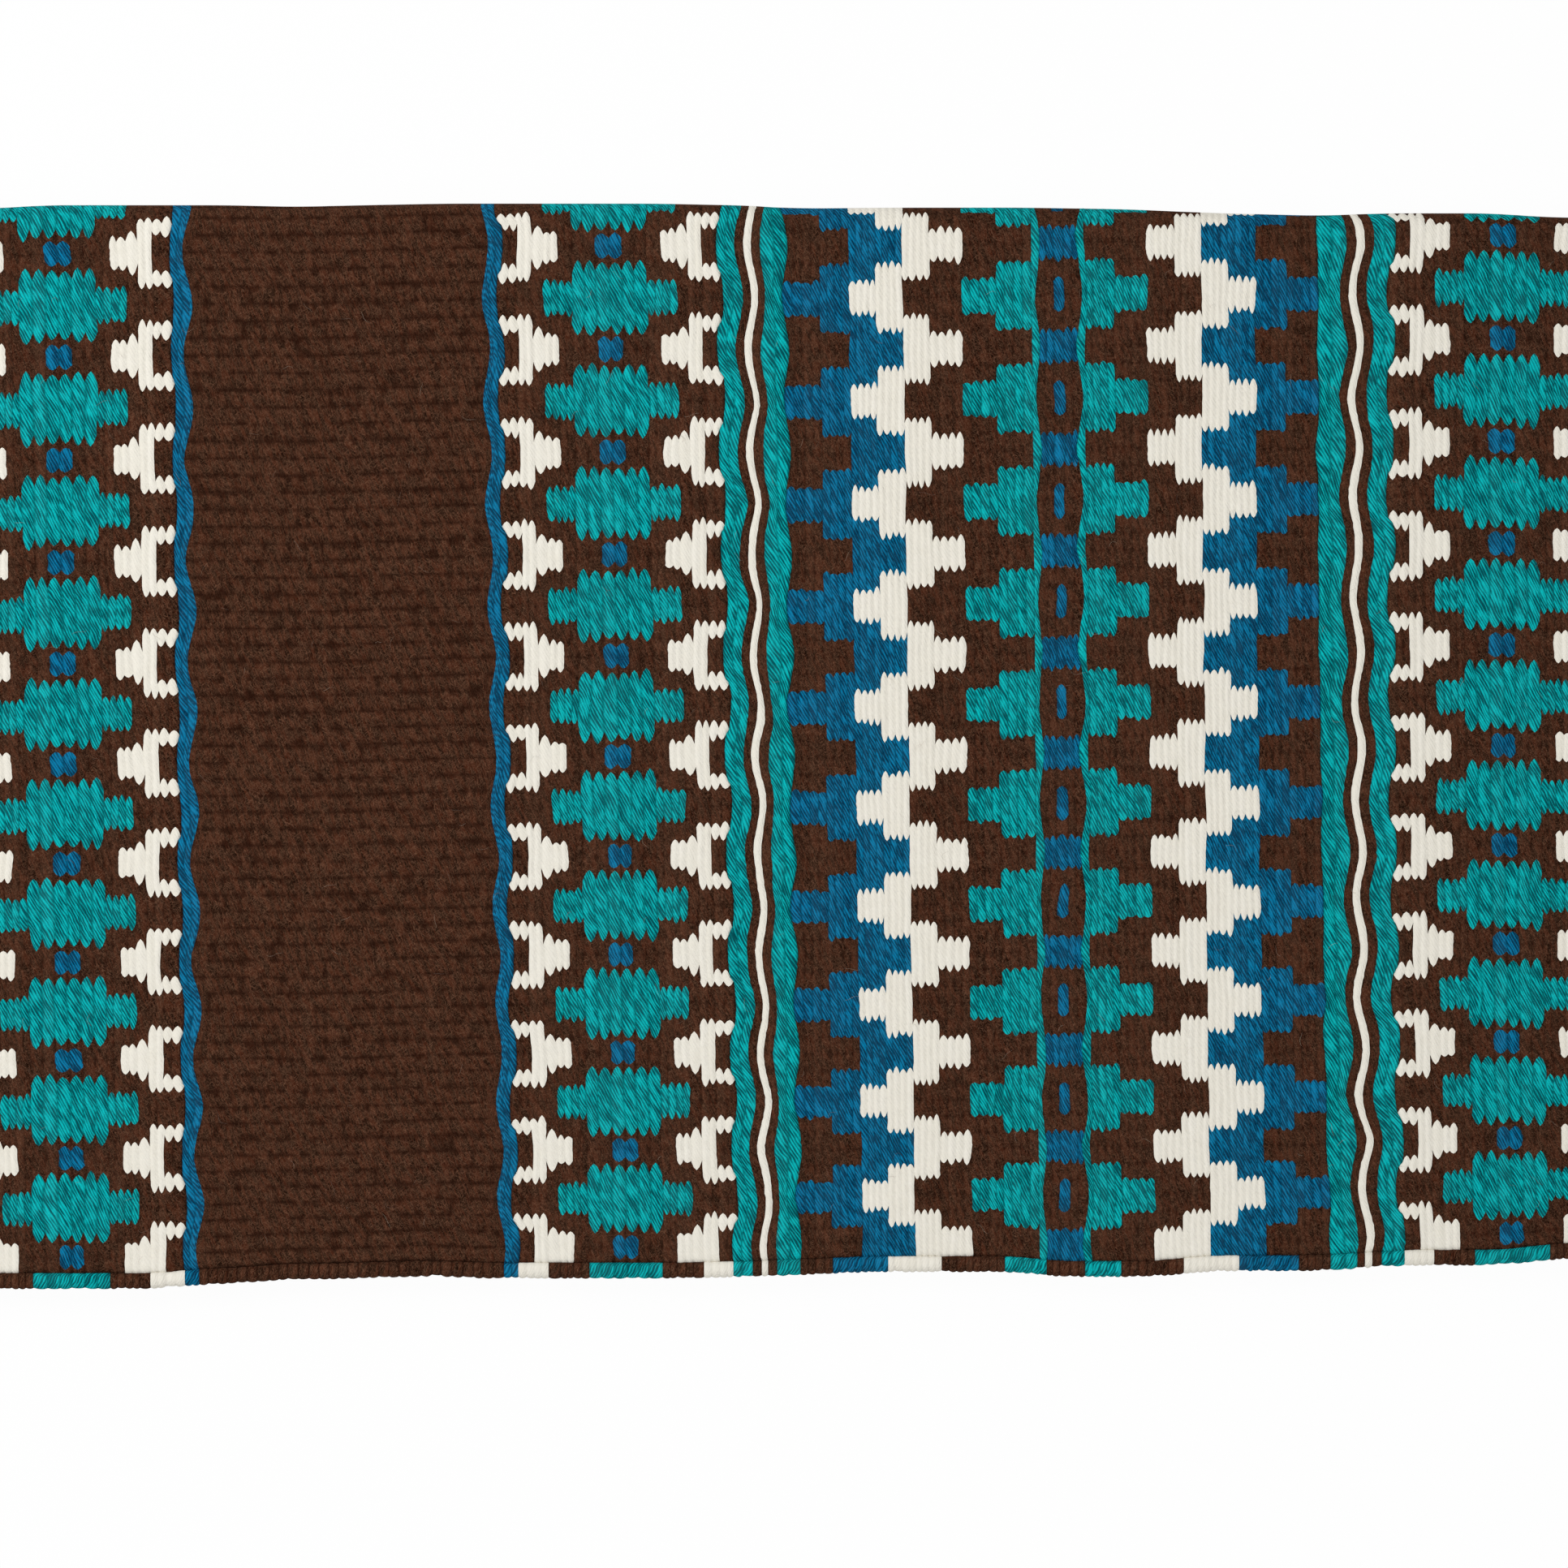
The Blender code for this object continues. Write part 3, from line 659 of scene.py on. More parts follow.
def weave_half(name, loom, first, past, way, step):
    """Weave one half of the cloth between two yarn columns as one closed shell. step 1 keeps
    the outside at full detail, and 2 halves it; the inside is always at half."""
    half = Half(loom, first, past, way)
    depth, count = half.from_fold.shape
    lines, cols = subset(depth, step), np.arange(0, count, step)
    in_lines, in_cols = subset(depth, INNER_STEP), np.arange(0, count, INNER_STEP)
    outer_xyz = together(half.x, *on_outside(half.flat_x, half.from_fold, half.height, way))
    inner_xyz = together(half.x, *on_inside(half.flat_x, half.from_fold, half.dip, way))
    cloth = together(half.flat_x, half.woven)
    across = np.linspace(0, 1, count)
    along = 1 - np.arange(depth)[:, None] / (depth - 1)
    room = 0.5 - 2 * BAKE_MARGIN
    bake_v = BAKE_MARGIN + (1 - 2 * BAKE_MARGIN) * along
    outer_bake = together(BAKE_MARGIN + room * across, bake_v)
    inner_bake = together(0.5 + BAKE_MARGIN + room * (1 - across), bake_v)

    shell = Shell()
    pick, in_pick = np.ix_(lines, cols), np.ix_(in_lines, in_cols)
    outer = shell.add_points(outer_xyz[pick], cloth[pick], outer_bake[pick], half.crest[pick])
    inner = shell.add_points(
        inner_xyz[in_pick], cloth[in_pick], inner_bake[in_pick], half.crest[in_pick])
    faces = np.ix_(lines[1:] - 1, cols[:-1])
    in_faces = np.ix_(in_lines[1:] - 1, in_cols[:-1])
    shell.add_grid(outer, half.colours[faces], half.tones[faces], way < 0)
    shell.add_grid(inner, half.colours[in_faces], half.tones[in_faces], way > 0)

    line_picks, col_picks = np.searchsorted(lines, in_lines), np.searchsorted(cols, in_cols)
    for place, is_end, sign in ((0, first == 0, -1), (-1, past == loom.count, 1)):
        margin = np.array((BAKE_MARGIN / 2, 0.0)) * sign
        rings = []
        if is_end:
            rings = end_cord(
                shell, outer_xyz[in_lines, place], inner_xyz[in_lines, place],
                cloth[in_lines, place], outer_bake[in_lines, place], margin)
        stretch = (in_lines[1:] - 1, place)
        edge = (outer[:, place], line_picks, inner[:, place], rings, half.colours[stretch],
                half.tones[stretch], outer_bake[lines, place], margin)
        close_edge(shell, edge, sign != way)
    for place, sign in ((0, 1), (-1, -1)):
        stretch = (place, in_cols[:-1])
        edge = (outer[place], col_picks, inner[place], [], half.colours[stretch],
                half.tones[stretch], outer_bake[place, cols],
                np.array((0.0, BAKE_MARGIN / 2)) * sign)
        close_edge(shell, edge, sign != way)
    return shell.make(name, wool_materials())


SELVEDGE_SIDES = 16
SELVEDGE_BULGE = 0.45
# The selvedge's crest shapes its cord and sets the painted crevice shade between its yarn columns
SELVEDGE_CREST_POWER = 0.75
SELVEDGE_UNEVENNESS = 0.3
SELVEDGE_SMOOTHING = 5
SELVEDGE_CLEARANCE = 0.12
SELVEDGE_CAP_STEPS = 3
SELVEDGE_CAP_LENGTH = SELVEDGE_RADIUS * 0.7
SELVEDGE_TUCK = 0.35
# How squarely the cord sits against the cloth: 1 is round
SELVEDGE_SEAT = 0.5
SELVEDGE_SEAT_HEIGHT = 0.4
SELVEDGE_SEAT_CHANGE = 0.2
SELVEDGE_CLOTH_PLACE = 500.0


def bind_selvedge(name, loom, way):
    """The thick last rib along the hem, one cord with every yarn column's colour."""
    line, row = (2 * LAST_ROW * SUB, LAST_ROW) if way > 0 else (0, -LAST_ROW - 1)
    x, flat_x = loom.x[line], loom.flat_x
    y = read_edge(HEM_EDGE, flat_x) + SELVEDGE_RADIUS
    z = FOLD_CENTRE_Z + way * (LAYER_GAP / 2 + SELVEDGE_RADIUS)
    crest = np.sin(math.pi * np.clip(loom.share, 0, 1)) ** SELVEDGE_CREST_POWER
    uneven = np.repeat(loom.rng.normal(0, SELVEDGE_UNEVENNESS, loom.count), SUB)
    uneven = np.pad(np.append(uneven, uneven[-1]), SELVEDGE_SMOOTHING // 2, mode="edge")
    even_share = np.ones(SELVEDGE_SMOOTHING) / SELVEDGE_SMOOTHING
    uneven = np.convolve(uneven, even_share, mode="valid")
    radius = SELVEDGE_RADIUS - SELVEDGE_BULGE * (1 - crest) - SELVEDGE_CLEARANCE - np.abs(uneven)
    caps = SELVEDGE_CAP_STEPS - 1
    angles = [math.pi / 2 * (step + 1) / SELVEDGE_CAP_STEPS for step in range(caps)]
    cap = np.array([math.cos(angle) for angle in angles])
    lengths = np.array([SELVEDGE_CAP_LENGTH * math.sin(angle) for angle in angles])
    x = np.concatenate((x[0] - lengths[::-1], x, x[-1] + lengths))
    radius = np.concatenate((radius[0] * cap[::-1], radius, radius[-1] * cap))
    colours = np.repeat(loom.codes[:, row_kind(row)], SUB)
    tones = np.repeat(loom.rng.random(loom.count), SUB)
    y, flat_x, crest, colours, tones = (
        np.pad(values, caps, mode="edge") for values in (y, flat_x, crest, colours, tones))

    turn = 2 * math.pi * np.arange(SELVEDGE_SIDES + 1) / SELVEDGE_SIDES
    cos, sin = np.cos(turn), np.sin(turn)
    cos = np.where(cos < 0, -np.abs(cos) ** SELVEDGE_SEAT, cos)
    sin = np.where(cos < 0, np.sign(sin) * np.abs(sin) ** SELVEDGE_SEAT_HEIGHT, sin)
    seat = -(SELVEDGE_RADIUS + SELVEDGE_TUCK) * np.abs(cos)
    change = (radius / radius.max())[:, None] ** SELVEDGE_SEAT_CHANGE
    reach = np.where(cos < 0, seat * change, radius[:, None] * cos)
    points = together(x[:, None], y[:, None] - reach, z + radius[:, None] * sin)
    cloth = together(flat_x[:, None], SELVEDGE_CLOTH_PLACE + SELVEDGE_RADIUS * turn)
    places = np.linspace(BAKE_MARGIN, 1 - BAKE_MARGIN, len(x))
    rounds = BAKE_MARGIN + (1 - 2 * BAKE_MARGIN) * turn / (2 * math.pi)
    bake = together(places[:, None], rounds)

    shell = Shell()
    numbers = shell.add_points(points[:, :-1], cloth[:, :-1], bake[:, :-1], crest[:, None])
    ring = np.concatenate((numbers, numbers[:, :1]), axis=1)
    shell.add_faces(cell_corners(ring).reshape(-1, 4), np.repeat(colours, SELVEDGE_SIDES),
                    np.repeat(tones, SELVEDGE_SIDES), cell_corners(bake).reshape(-1, 2))
    for place, turned in ((0, False), (-1, True)):
        shell.add_face(numbers[place], colours[place], tones[place], bake[place, :-1], turned)
    return shell.make(name, wool_materials())


FIBRE_SEED = SEED + 7
FIBRE_SIDES = 3
FIBRE_STEPS = 6
FIBRE_X = BLANKET_END - 12.0
FIBRE_Y = (-205.0, 203.0)
FIBRE_SHORTEST = 0.35
FIBRE_CURL = 1.3
FIBRE_LIFT = (0.1, 0.7)
FIBRE_WAVE = 0.4
FIBRE_WAVES = 5
FIBRE_DEPTH = 0.35
FIBRE_TIP = 0.55
FIBRE_SWELL = 0.45
FIBRE_TIP_PLACES = (0.06, 0.94)
FIBRE_BAKE_SHARE = 0.9
FIBRE_BAKE_SPAN = (1100, 450)
FIBRE_END_TONE = 0.5


def lay_fibres(name, count, longest, radius):
    """Stray wool fibres that stand a little proud of the upper half's face."""
    rng = np.random.default_rng(FIBRE_SEED)
    shell = Shell()
    steps = np.linspace(0, 1, FIBRE_STEPS)
    turn = 2 * math.pi * np.arange(FIBRE_SIDES) / FIBRE_SIDES
    swell = FIBRE_SWELL * np.sin(math.pi * np.clip(steps, *FIBRE_TIP_PLACES))
    thin = (radius * (FIBRE_TIP + swell))[:, None]
    for _ in range(count):
        x = rng.uniform(-FIBRE_X, FIBRE_X)
        y = rng.uniform(*FIBRE_Y)
        heading = rng.uniform(0, 2 * math.pi)
        length = rng.uniform(FIBRE_SHORTEST, 1.0) * longest
        curl = rng.normal(0, FIBRE_CURL)
        lift = rng.uniform(*FIBRE_LIFT)
        bearings = heading + curl * steps + FIBRE_WAVE * np.sin(FIBRE_WAVES * steps + heading)
        cos, sin = np.cos(bearings), np.sin(bearings)
        xs = x + np.append(0, np.cumsum(cos[:-1])) * length / FIBRE_STEPS
        ys = y + np.append(0, np.cumsum(sin[:-1])) * length / FIBRE_STEPS
        zs = 2 * FOLD_CENTRE_Z - FIBRE_DEPTH + lift * np.sin(math.pi * steps)
        rings = together(
            xs[:, None] + thin * np.cos(turn) * -sin[:, None],
            ys[:, None] + thin * np.cos(turn) * cos[:, None],
            zs[:, None] + thin * np.sin(turn))
        cloth = together(xs, ys)[:, None]
        bake = 0.5 + FIBRE_BAKE_SHARE * cloth / FIBRE_BAKE_SPAN
        numbers = shell.add_points(rings, cloth, bake, 1.0)
        ring = np.concatenate((numbers, numbers[:, :1]), axis=1)
        faces = (FIBRE_STEPS - 1, FIBRE_SIDES)
        shell.add_grid(ring, np.zeros(faces, int), np.full(faces, rng.random()), True)
        for place, turned in ((0, True), (-1, False)):
            own = np.broadcast_to(bake[place], (FIBRE_SIDES, 2))
            shell.add_face(numbers[place], 0, FIBRE_END_TONE, own, turned)
    return shell.make(name, [stray_fibre_material()])


def feed(tree, node, values):
    """Give a node's inputs their values: numbers, colours or other nodes' sockets."""
    for key, value in values.items():
        if hasattr(value, "is_linked"):
            tree.links.new(value, node.inputs[key])
        else:
            node.inputs[key].default_value = value


def add_node(tree, kind, values, **settings):
    """Add a shader node with its settings and its inputs' values, and return its outputs."""
    node = tree.nodes.new("ShaderNode" + kind)
    for key, value in settings.items():
        setattr(node, key, value)
    feed(tree, node, values)
    return node.outputs


def math_node(tree, operation, *values):
    """Add a math node and return its output."""
    return add_node(tree, "Math", dict(enumerate(values)), operation=operation)[0]


def ramp_node(tree, value, low, high):
    """Stretch a value from low..high to 0..1, clipped."""
    values = {"Value": value, "From Min": low, "From Max": high}
    return add_node(tree, "MapRange", values)["Result"]


def noise_node(tree, vector, scale, detail, roughness):
    """Add a noise texture and return its value."""
    values = {"Vector": vector, "Scale": scale, "Detail": detail, "Roughness": roughness}
    return add_node(tree, "TexNoise", values)["Fac"]


def new_group(name, inputs, outputs):
    """Start a node group. A socket's value is its default, or v or c for vector or colour."""
    kinds = {"f": "NodeSocketFloat", "v": "NodeSocketVector", "c": "NodeSocketColor"}
    group = bpy.data.node_groups.new(name, "ShaderNodeTree")
    for label, value in inputs.items():
        kind = kinds.get(value, kinds["f"])
        socket = group.interface.new_socket(label, in_out="INPUT", socket_type=kind)
        if value not in kinds:
            socket.default_value = value
    for label, kind in outputs.items():
        group.interface.new_socket(label, in_out="OUTPUT", socket_type=kinds[kind])
    return group, group.nodes.new("NodeGroupInput").outputs, group.nodes.new("NodeGroupOutput")


STREAK_CHANGE = 37.0
TWIST_WAVE_SCALE = math.pi / 10
TWIST_DISTORTION = 4.6
TWIST_DETAIL = 1.5
TWIST_DETAIL_SCALE = 1.2
TWIST_PHASE = 60.0
TWIST_NOISE = (0.6, 1.6, 0.55)
TWIST_FULL = 0.62
FIBRE_SLANTS = (0.25, 1.05, -0.85)
FIBRE_NOISE = (1.0, 1.0, 0.5)
FIBRE_MASK = (0.52, 0.74)
MOTTLE_DETAIL = (3.0, 0.6)
MOTTLE_MASK = (0.3, 0.7)
# Painted shade in crevices: the crests where it begins and is full, and how patchy the mottling
# makes it
CREVICE_SHADE_MASK = (0.5, 0.0)
CREVICE_SHADE_PATCHES = (0.5, 0.6)


def slanted_grid(tree, source, slant, width, length):
    """Turn the cloth's own coordinates by slant and scale them to streaks of a real size."""
    turn = {"Vector": source["Cloth"], "Angle": slant}
    turned = add_node(tree, "VectorRotate", turn, rotation_type="Z_AXIS")["Vector"]
    parts = add_node(tree, "SeparateXYZ", {"Vector": turned})
    return add_node(tree, "CombineXYZ", {
        "X": math_node(tree, "DIVIDE", parts["X"], source[width]),
        "Y": math_node(tree, "DIVIDE", parts["Y"], source[length]),
        "Z": math_node(tree, "MULTIPLY", source["Tone"], STREAK_CHANGE)})["Vector"]


def ply_twist_group():
    """The slanted plies of a twisted yarn: a mask of their crests."""
    group, source, out = new_group("Ply Twist", {
        "Cloth": "v", "Tone": 0.5, "Slant": 0.5, "Ply Width": 0.0008, "Ply Length": 0.0035,
        "Gap": 0.4, "Regularity": 0.25}, {"Mask": "f"})
    vector = slanted_grid(group, source, source["Slant"], "Ply Width", "Ply Length")
    strands = add_node(group, "TexWave", {
        "Vector": vector, "Scale": TWIST_WAVE_SCALE, "Distortion": TWIST_DISTORTION,
        "Detail": TWIST_DETAIL, "Detail Scale": TWIST_DETAIL_SCALE,
        "Phase Offset": math_node(group, "MULTIPLY", source["Tone"], TWIST_PHASE)})["Fac"]
    uneven = noise_node(group, vector, *TWIST_NOISE)
    even = math_node(group, "SUBTRACT", strands, uneven)
    value = math_node(group, "MULTIPLY_ADD", even, source["Regularity"], uneven)
    feed(group, out, {"Mask": ramp_node(group, value, source["Gap"], TWIST_FULL)})
    return group


def wool_fuzz_group():
    """Fine crossing fibres on the yarn's surface, and the soft mottling of hand-spun wool."""
    group, source, out = new_group("Wool Fuzz", {
        "Cloth": "v", "Tone": 0.5, "Fibre Width": 0.00024, "Fibre Length": 0.0015,
        "Mottle Size": 0.006}, {"Fibres": "f", "Mottle": "f"})
    fibres = 0.0
    for slant in FIBRE_SLANTS:
        vector = slanted_grid(group, source, slant, "Fibre Width", "Fibre Length")
        value = ramp_node(group, noise_node(group, vector, *FIBRE_NOISE), *FIBRE_MASK)
        fibres = math_node(group, "MAXIMUM", fibres, value)
    scale = math_node(group, "DIVIDE", 1.0, source["Mottle Size"])
    mottle = noise_node(group, source["Cloth"], scale, *MOTTLE_DETAIL)
    feed(group, out, {"Fibres": fibres, "Mottle": ramp_node(group, mottle, *MOTTLE_MASK)})
    return group


def yarn_colour_group():
    """Mixes a yarn's own colours by its fibres, mottling and tone, with painted shade between its
    plies and in its crevices.
    """
    group, source, out = new_group("Yarn Colour", {
        "Deep": "c", "Body": "c", "Light": "c", "Crevice": "c", "Plies": 0.5, "Fibres": 0.5,
        "Mottle": 0.5, "Tone": 0.5, "Crest": 0.5, "Ply Contrast": 0.5, "Fibre Contrast": 0.3,
        "Tone Contrast": 0.2, "Crevice Depth": 0.5}, {"Color": "c"})

    def blend(factor, low, high):
        values = {"Factor": factor, "A": low, "B": high}
        return add_node(group, "Mix", values, data_type="RGBA")["Result"]

    # Painted shade between the plies: the body darkens towards the ply shade colour
    plies = math_node(group, "SUBTRACT", 1.0, source["Plies"])
    deep = math_node(group, "MULTIPLY", plies, source["Ply Contrast"])
    colour = blend(deep, source["Body"], source["Deep"])
    mottle = math_node(group, "SUBTRACT", source["Mottle"], 0.5)
    tone = math_node(group, "ADD", mottle, source["Tone"])
    tone = math_node(group, "MULTIPLY", tone, source["Tone Contrast"])
    colour = blend(math_node(group, "MAXIMUM", tone, 0.0), colour, source["Light"])
    fibres = math_node(group, "MULTIPLY", source["Fibres"], source["Fibre Contrast"])
    colour = blend(fibres, colour, source["Light"])
    # Painted shade in the crevices, where the crest is low, patchy with the mottling
    hollow = ramp_node(group, source["Crest"], *CREVICE_SHADE_MASK)
    hollow = math_node(group, "MULTIPLY", hollow, source["Crevice Depth"])
    patchy = math_node(group, "MULTIPLY_ADD", source["Mottle"], *CREVICE_SHADE_PATCHES)
    hollow = math_node(group, "MINIMUM", math_node(group, "MULTIPLY", hollow, patchy), 1.0)
    feed(group, out, {"Color": blend(hollow, colour, source["Crevice"])})
    return group


def linear(red, green, blue):
    """A colour read off in 0 to 255, as Blender's linear values."""
    shares = [channel / 255 for channel in (red, green, blue)]
    return tuple(
        share / 12.92 if share <= 0.04045 else ((share + 0.055) / 1.055) ** 2.4
        for share in shares)


def colour_property(name, description, red, green, blue):
    """A colour that the panel shows."""
    return bpy.props.FloatVectorProperty(
        name=name, description=description, subtype="COLOR", size=3, min=0.0, max=1.0,
        default=linear(red, green, blue))


def length_property(name, description, default, precision=2):
    """A length that the panel shows."""
    return bpy.props.FloatProperty(
        name=name, description=description, default=default, precision=precision,
        subtype="DISTANCE", unit="LENGTH")


def step_property(name, description, default):
    """A step of the cloth's grid: 1 for full detail, 2 for half."""
    return bpy.props.IntProperty(
        name=name, description=description, default=default, min=1, max=2)


class SADDLE_PG_cloth(bpy.types.PropertyGroup):
    """How closely the cloth is woven and what lies on it."""

    upper_step: step_property("Upper step", "Grid step of the upper half's outside", 1)
    lower_step: step_property("Lower step", "Grid step of the lower half's outside", 2)
    fibre_count: bpy.props.IntProperty(
        name="Stray fibres", description="How many loose fibres lie on the face", default=400,
        min=0)
    fibre_length: length_property("Fibre length", "Longest stray fibre", 0.008)
    fibre_radius: length_property(
        "Fibre radius", "Half the thickness of a stray fibre", 0.000035, 6)


class SADDLE_PG_wool(bpy.types.PropertyGroup):
    """Colours of the four wools and the size of their twist."""

    # Each wool's colour between its plies is painted shade
    brown_deep: colour_property("Brown, between plies", "Deepest brown", 23, 9, 3)
    brown_body: colour_property("Brown", "The brown yarn's body", 68, 33, 19)
    brown_light: colour_property("Brown, light fibres", "Lightest brown", 140, 99, 76)
    teal_deep: colour_property("Teal, between plies", "Deepest teal", 0, 74, 81)
    teal_body: colour_property("Teal", "The teal yarn's body", 8, 189, 192)
    teal_light: colour_property("Teal, light fibres", "Lightest teal", 62, 188, 188)
    blue_deep: colour_property("Blue, between plies", "Deepest blue", 0, 48, 76)
    blue_body: colour_property("Blue", "The blue yarn's body", 6, 126, 172)
    blue_light: colour_property("Blue, light fibres", "Lightest blue", 66, 132, 166)
    white_deep: colour_property("White, between plies", "Deepest white", 206, 198, 182)
    white_body: colour_property("White", "The white yarn's body", 234, 229, 216)
    white_light: colour_property("White, light fibres", "Lightest white", 250, 247, 240)
    ply_slant: bpy.props.FloatProperty(
        name="Ply slant", description="How far the plies lean off the yarn", default=0.5,
        subtype="ANGLE")
    ply_width: length_property("Ply width", "Across one ply", 0.00105, 5)
    ply_length: length_property("Ply length", "How long a ply shows", 0.0042, 5)


class SADDLE_PG_stage(bpy.types.PropertyGroup):
    """Camera and lamps."""

    camera_height: length_property("Camera height", "Above the blanket's face", 2.5)
    key_power: bpy.props.FloatProperty(
        name="Key power", description="Watts of the main lamp", default=22.0, unit="POWER")
    fill_power: bpy.props.FloatProperty(
        name="Fill power", description="Watts of each fill lamp", default=8.0, unit="POWER")
    room_light: bpy.props.FloatProperty(
        name="Room light", description="Strength of the even light all round", default=0.46)


# Colours, contrast of the painted shade between plies, fibre contrast, tone contrast, depth of the
# painted crevice shade, ply relief, fibre relief, how wide the gaps between plies are, the share of
# the usual slant, and how even the plies are
WOOL_FINISH = {
    "brown_wool": ("brown", 1.0, 0.5, 0.08, 0.8, 0.8, 0.6, 0.42, 0.75, 0.12),
    "teal_wool": ("teal", 1.0, 0.1, 0.1, 0.8, 1.0, 0.35, 0.38, 0.95, 0.24),
    "blue_wool": ("blue", 1.0, 0.2, 0.1, 0.75, 1.0, 0.4, 0.4, 0.95, 0.22),
    "white_wool": ("white", 0.12, 0.14, 0.16, 0.1, 0.3, 0.15, 0.36, 1.0, 0.2),
}
# Painted crevice shade: the body colour darkened to this share
CREVICE_SHADE_SHARE = 0.3
WOOL_SPECULAR = 0.02
WOOL_ROUGHNESS = 0.86
FIBRE_ROUGHNESS = 0.08
BUMP_STRENGTH = 0.8
BUMP_DISTANCE = 0.0005
STRAY_ROUGHNESS = 0.7
STRAY_SHEEN = 0.2
STRAY_COLOURS = ((96, 70, 56), (190, 170, 148))


def new_material(name):
    """Start a material, and return its node tree and plain shader with it."""
    material = bpy.data.materials.new(name)
    material.use_nodes = True
    tree = material.node_tree
    return material, tree, tree.nodes["Principled BSDF"]


def shared_effect(tree, name, maker, values):
    """Place an effect that is built once and used by several materials."""
    group = bpy.data.node_groups.get(name) or maker()
    return add_node(tree, "Group", values, node_tree=group)


def attribute_value(tree, name):
    """Read one of the cloth's own values."""
    return add_node(tree, "Attribute", {}, attribute_name=name)["Fac"]


def rgba(colour, share=1.0):
    """A colour with its alpha, darkened to a share."""
    return tuple(channel * share for channel in colour) + (1.0,)


def wool_material(slot):
    """One wool: twisted plies with painted shade between them, crossing fibres, mottling and
    painted shade in its crevices.
    """
    settings = bpy.context.scene.saddle_wool
    (word, ply_contrast, fibre_contrast, tone_contrast, crevice, ply_relief, fibre_relief, gap,
     lean, regularity) = WOOL_FINISH[slot]
    deep, body, light = (
        getattr(settings, word + part) for part in ("_deep", "_body", "_light"))
    material, tree, shader = new_material("handspun_" + slot)
    cloth = add_node(tree, "UVMap", {}, uv_map="cloth")["UV"]
    tone = attribute_value(tree, "tone")
    plies = shared_effect(tree, "Ply Twist", ply_twist_group, {
        "Cloth": cloth, "Tone": tone, "Slant": settings.ply_slant * lean,
        "Ply Width": settings.ply_width, "Ply Length": settings.ply_length, "Gap": gap,
        "Regularity": regularity})["Mask"]
    fuzz = shared_effect(tree, "Wool Fuzz", wool_fuzz_group, {"Cloth": cloth, "Tone": tone})
    colour = shared_effect(tree, "Yarn Colour", yarn_colour_group, {
        "Deep": rgba(deep), "Body": rgba(body), "Light": rgba(light),
        "Crevice": rgba(body, CREVICE_SHADE_SHARE), "Plies": plies, "Fibres": fuzz["Fibres"],
        "Mottle": fuzz["Mottle"], "Tone": tone, "Crest": attribute_value(tree, "crest"),
        "Ply Contrast": ply_contrast, "Fibre Contrast": fibre_contrast,
        "Tone Contrast": tone_contrast, "Crevice Depth": crevice})["Color"]
    rough = math_node(tree, "MULTIPLY_ADD", fuzz["Fibres"], FIBRE_ROUGHNESS, WOOL_ROUGHNESS)
    height = math_node(tree, "MULTIPLY", plies, ply_relief)
    height = math_node(tree, "MULTIPLY_ADD", fuzz["Fibres"], fibre_relief, height)
    bump = {"Strength": BUMP_STRENGTH, "Distance": BUMP_DISTANCE, "Height": height}
    feed(tree, shader, {
        "Base Color": colour, "Roughness": rough, "Specular IOR Level": WOOL_SPECULAR,
        "Normal": add_node(tree, "Bump", bump)["Normal"]})
    return material


def wool_materials():
    """The four wools, made once, in the order of WOOLS."""
    made = bpy.data.materials
    return [made.get("handspun_" + slot) or wool_material(slot) for slot in WOOLS]


def stray_fibre_material():
    """Single wool fibres, from tan to brown."""
    material, tree, shader = new_material("stray_fibre")
    ramp = tree.nodes.new("ShaderNodeValToRGB")
    for element, colour in zip(ramp.color_ramp.elements, STRAY_COLOURS):
        element.color = rgba(linear(*colour))
    feed(tree, ramp, {"Fac": attribute_value(tree, "tone")})
    feed(tree, shader, {"Base Color": ramp.outputs["Color"], "Roughness": STRAY_ROUGHNESS,
                        "Sheen Weight": STRAY_SHEEN})
    return material


SIDES = ("left", "right")
_looms = []


def the_loom():
    """The cloth's grid, laid out once and shared by every band."""
    if not _looms:
        _looms.append(Loom())
    return _looms[0]


def add_band(piece_name, columns, bands, fold_words):
    """Weave one band's two halves, and hide the solids of the same cloth."""
    loom = the_loom()
    cloth = bpy.context.scene.saddle_cloth
    first, past = columns
    upper = weave_half("woven_upper_" + piece_name, loom, first, past, 1, cloth.upper_step)
    lower = weave_half("woven_lower_" + piece_name, loom, first, past, -1, cloth.lower_step)
    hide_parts(*["upper_" + band for band in bands], *["fold_" + f for f in fold_words])
    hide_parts(*["lower_" + band for band in bands])
    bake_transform(upper)
    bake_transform(lower)


def add_side_bands(bands):
    """Weave bands that have one solid to each half, on both sides of the field."""
    for side in SIDES:
        for band in bands:
            name = f"{side}_{band}"
            add_band(name, the_loom().columns_of(side, band, band), [name], [name])


class SADDLE_OT_plain_field(bpy.types.Operator):
    """Weave the plain brown field with the blue line on each side of it"""

    bl_idname = "saddle.plain_field"
    bl_label = "Weave plain field"

    def execute(self, context):
        first = the_loom().columns_of("left", "plain_field", "blue_line")[0]
        past = the_loom().columns_of("right", "plain_field", "blue_line")[1]
        bands = ["plain_field", "left_blue_line", "right_blue_line"]
        add_band("plain_field", (first, past), bands, bands)
        return {"FINISHED"}


class SADDLE_OT_diamonds(bpy.types.Operator):
    """Weave the four bands of stepped diamonds"""

    bl_idname = "saddle.diamonds"
    bl_label = "Weave diamond bands"

    def execute(self, context):
        add_side_bands(("inner_diamonds", "outer_diamonds"))
        return {"FINISHED"}


class SADDLE_OT_rails(bpy.types.Operator):
    """Weave the four rails of teal edges and a white pinstripe"""

    bl_idname = "saddle.rails"
    bl_label = "Weave rails"

    def execute(self, context):
        add_side_bands(("inner_rail", "outer_rail"))
        return {"FINISHED"}


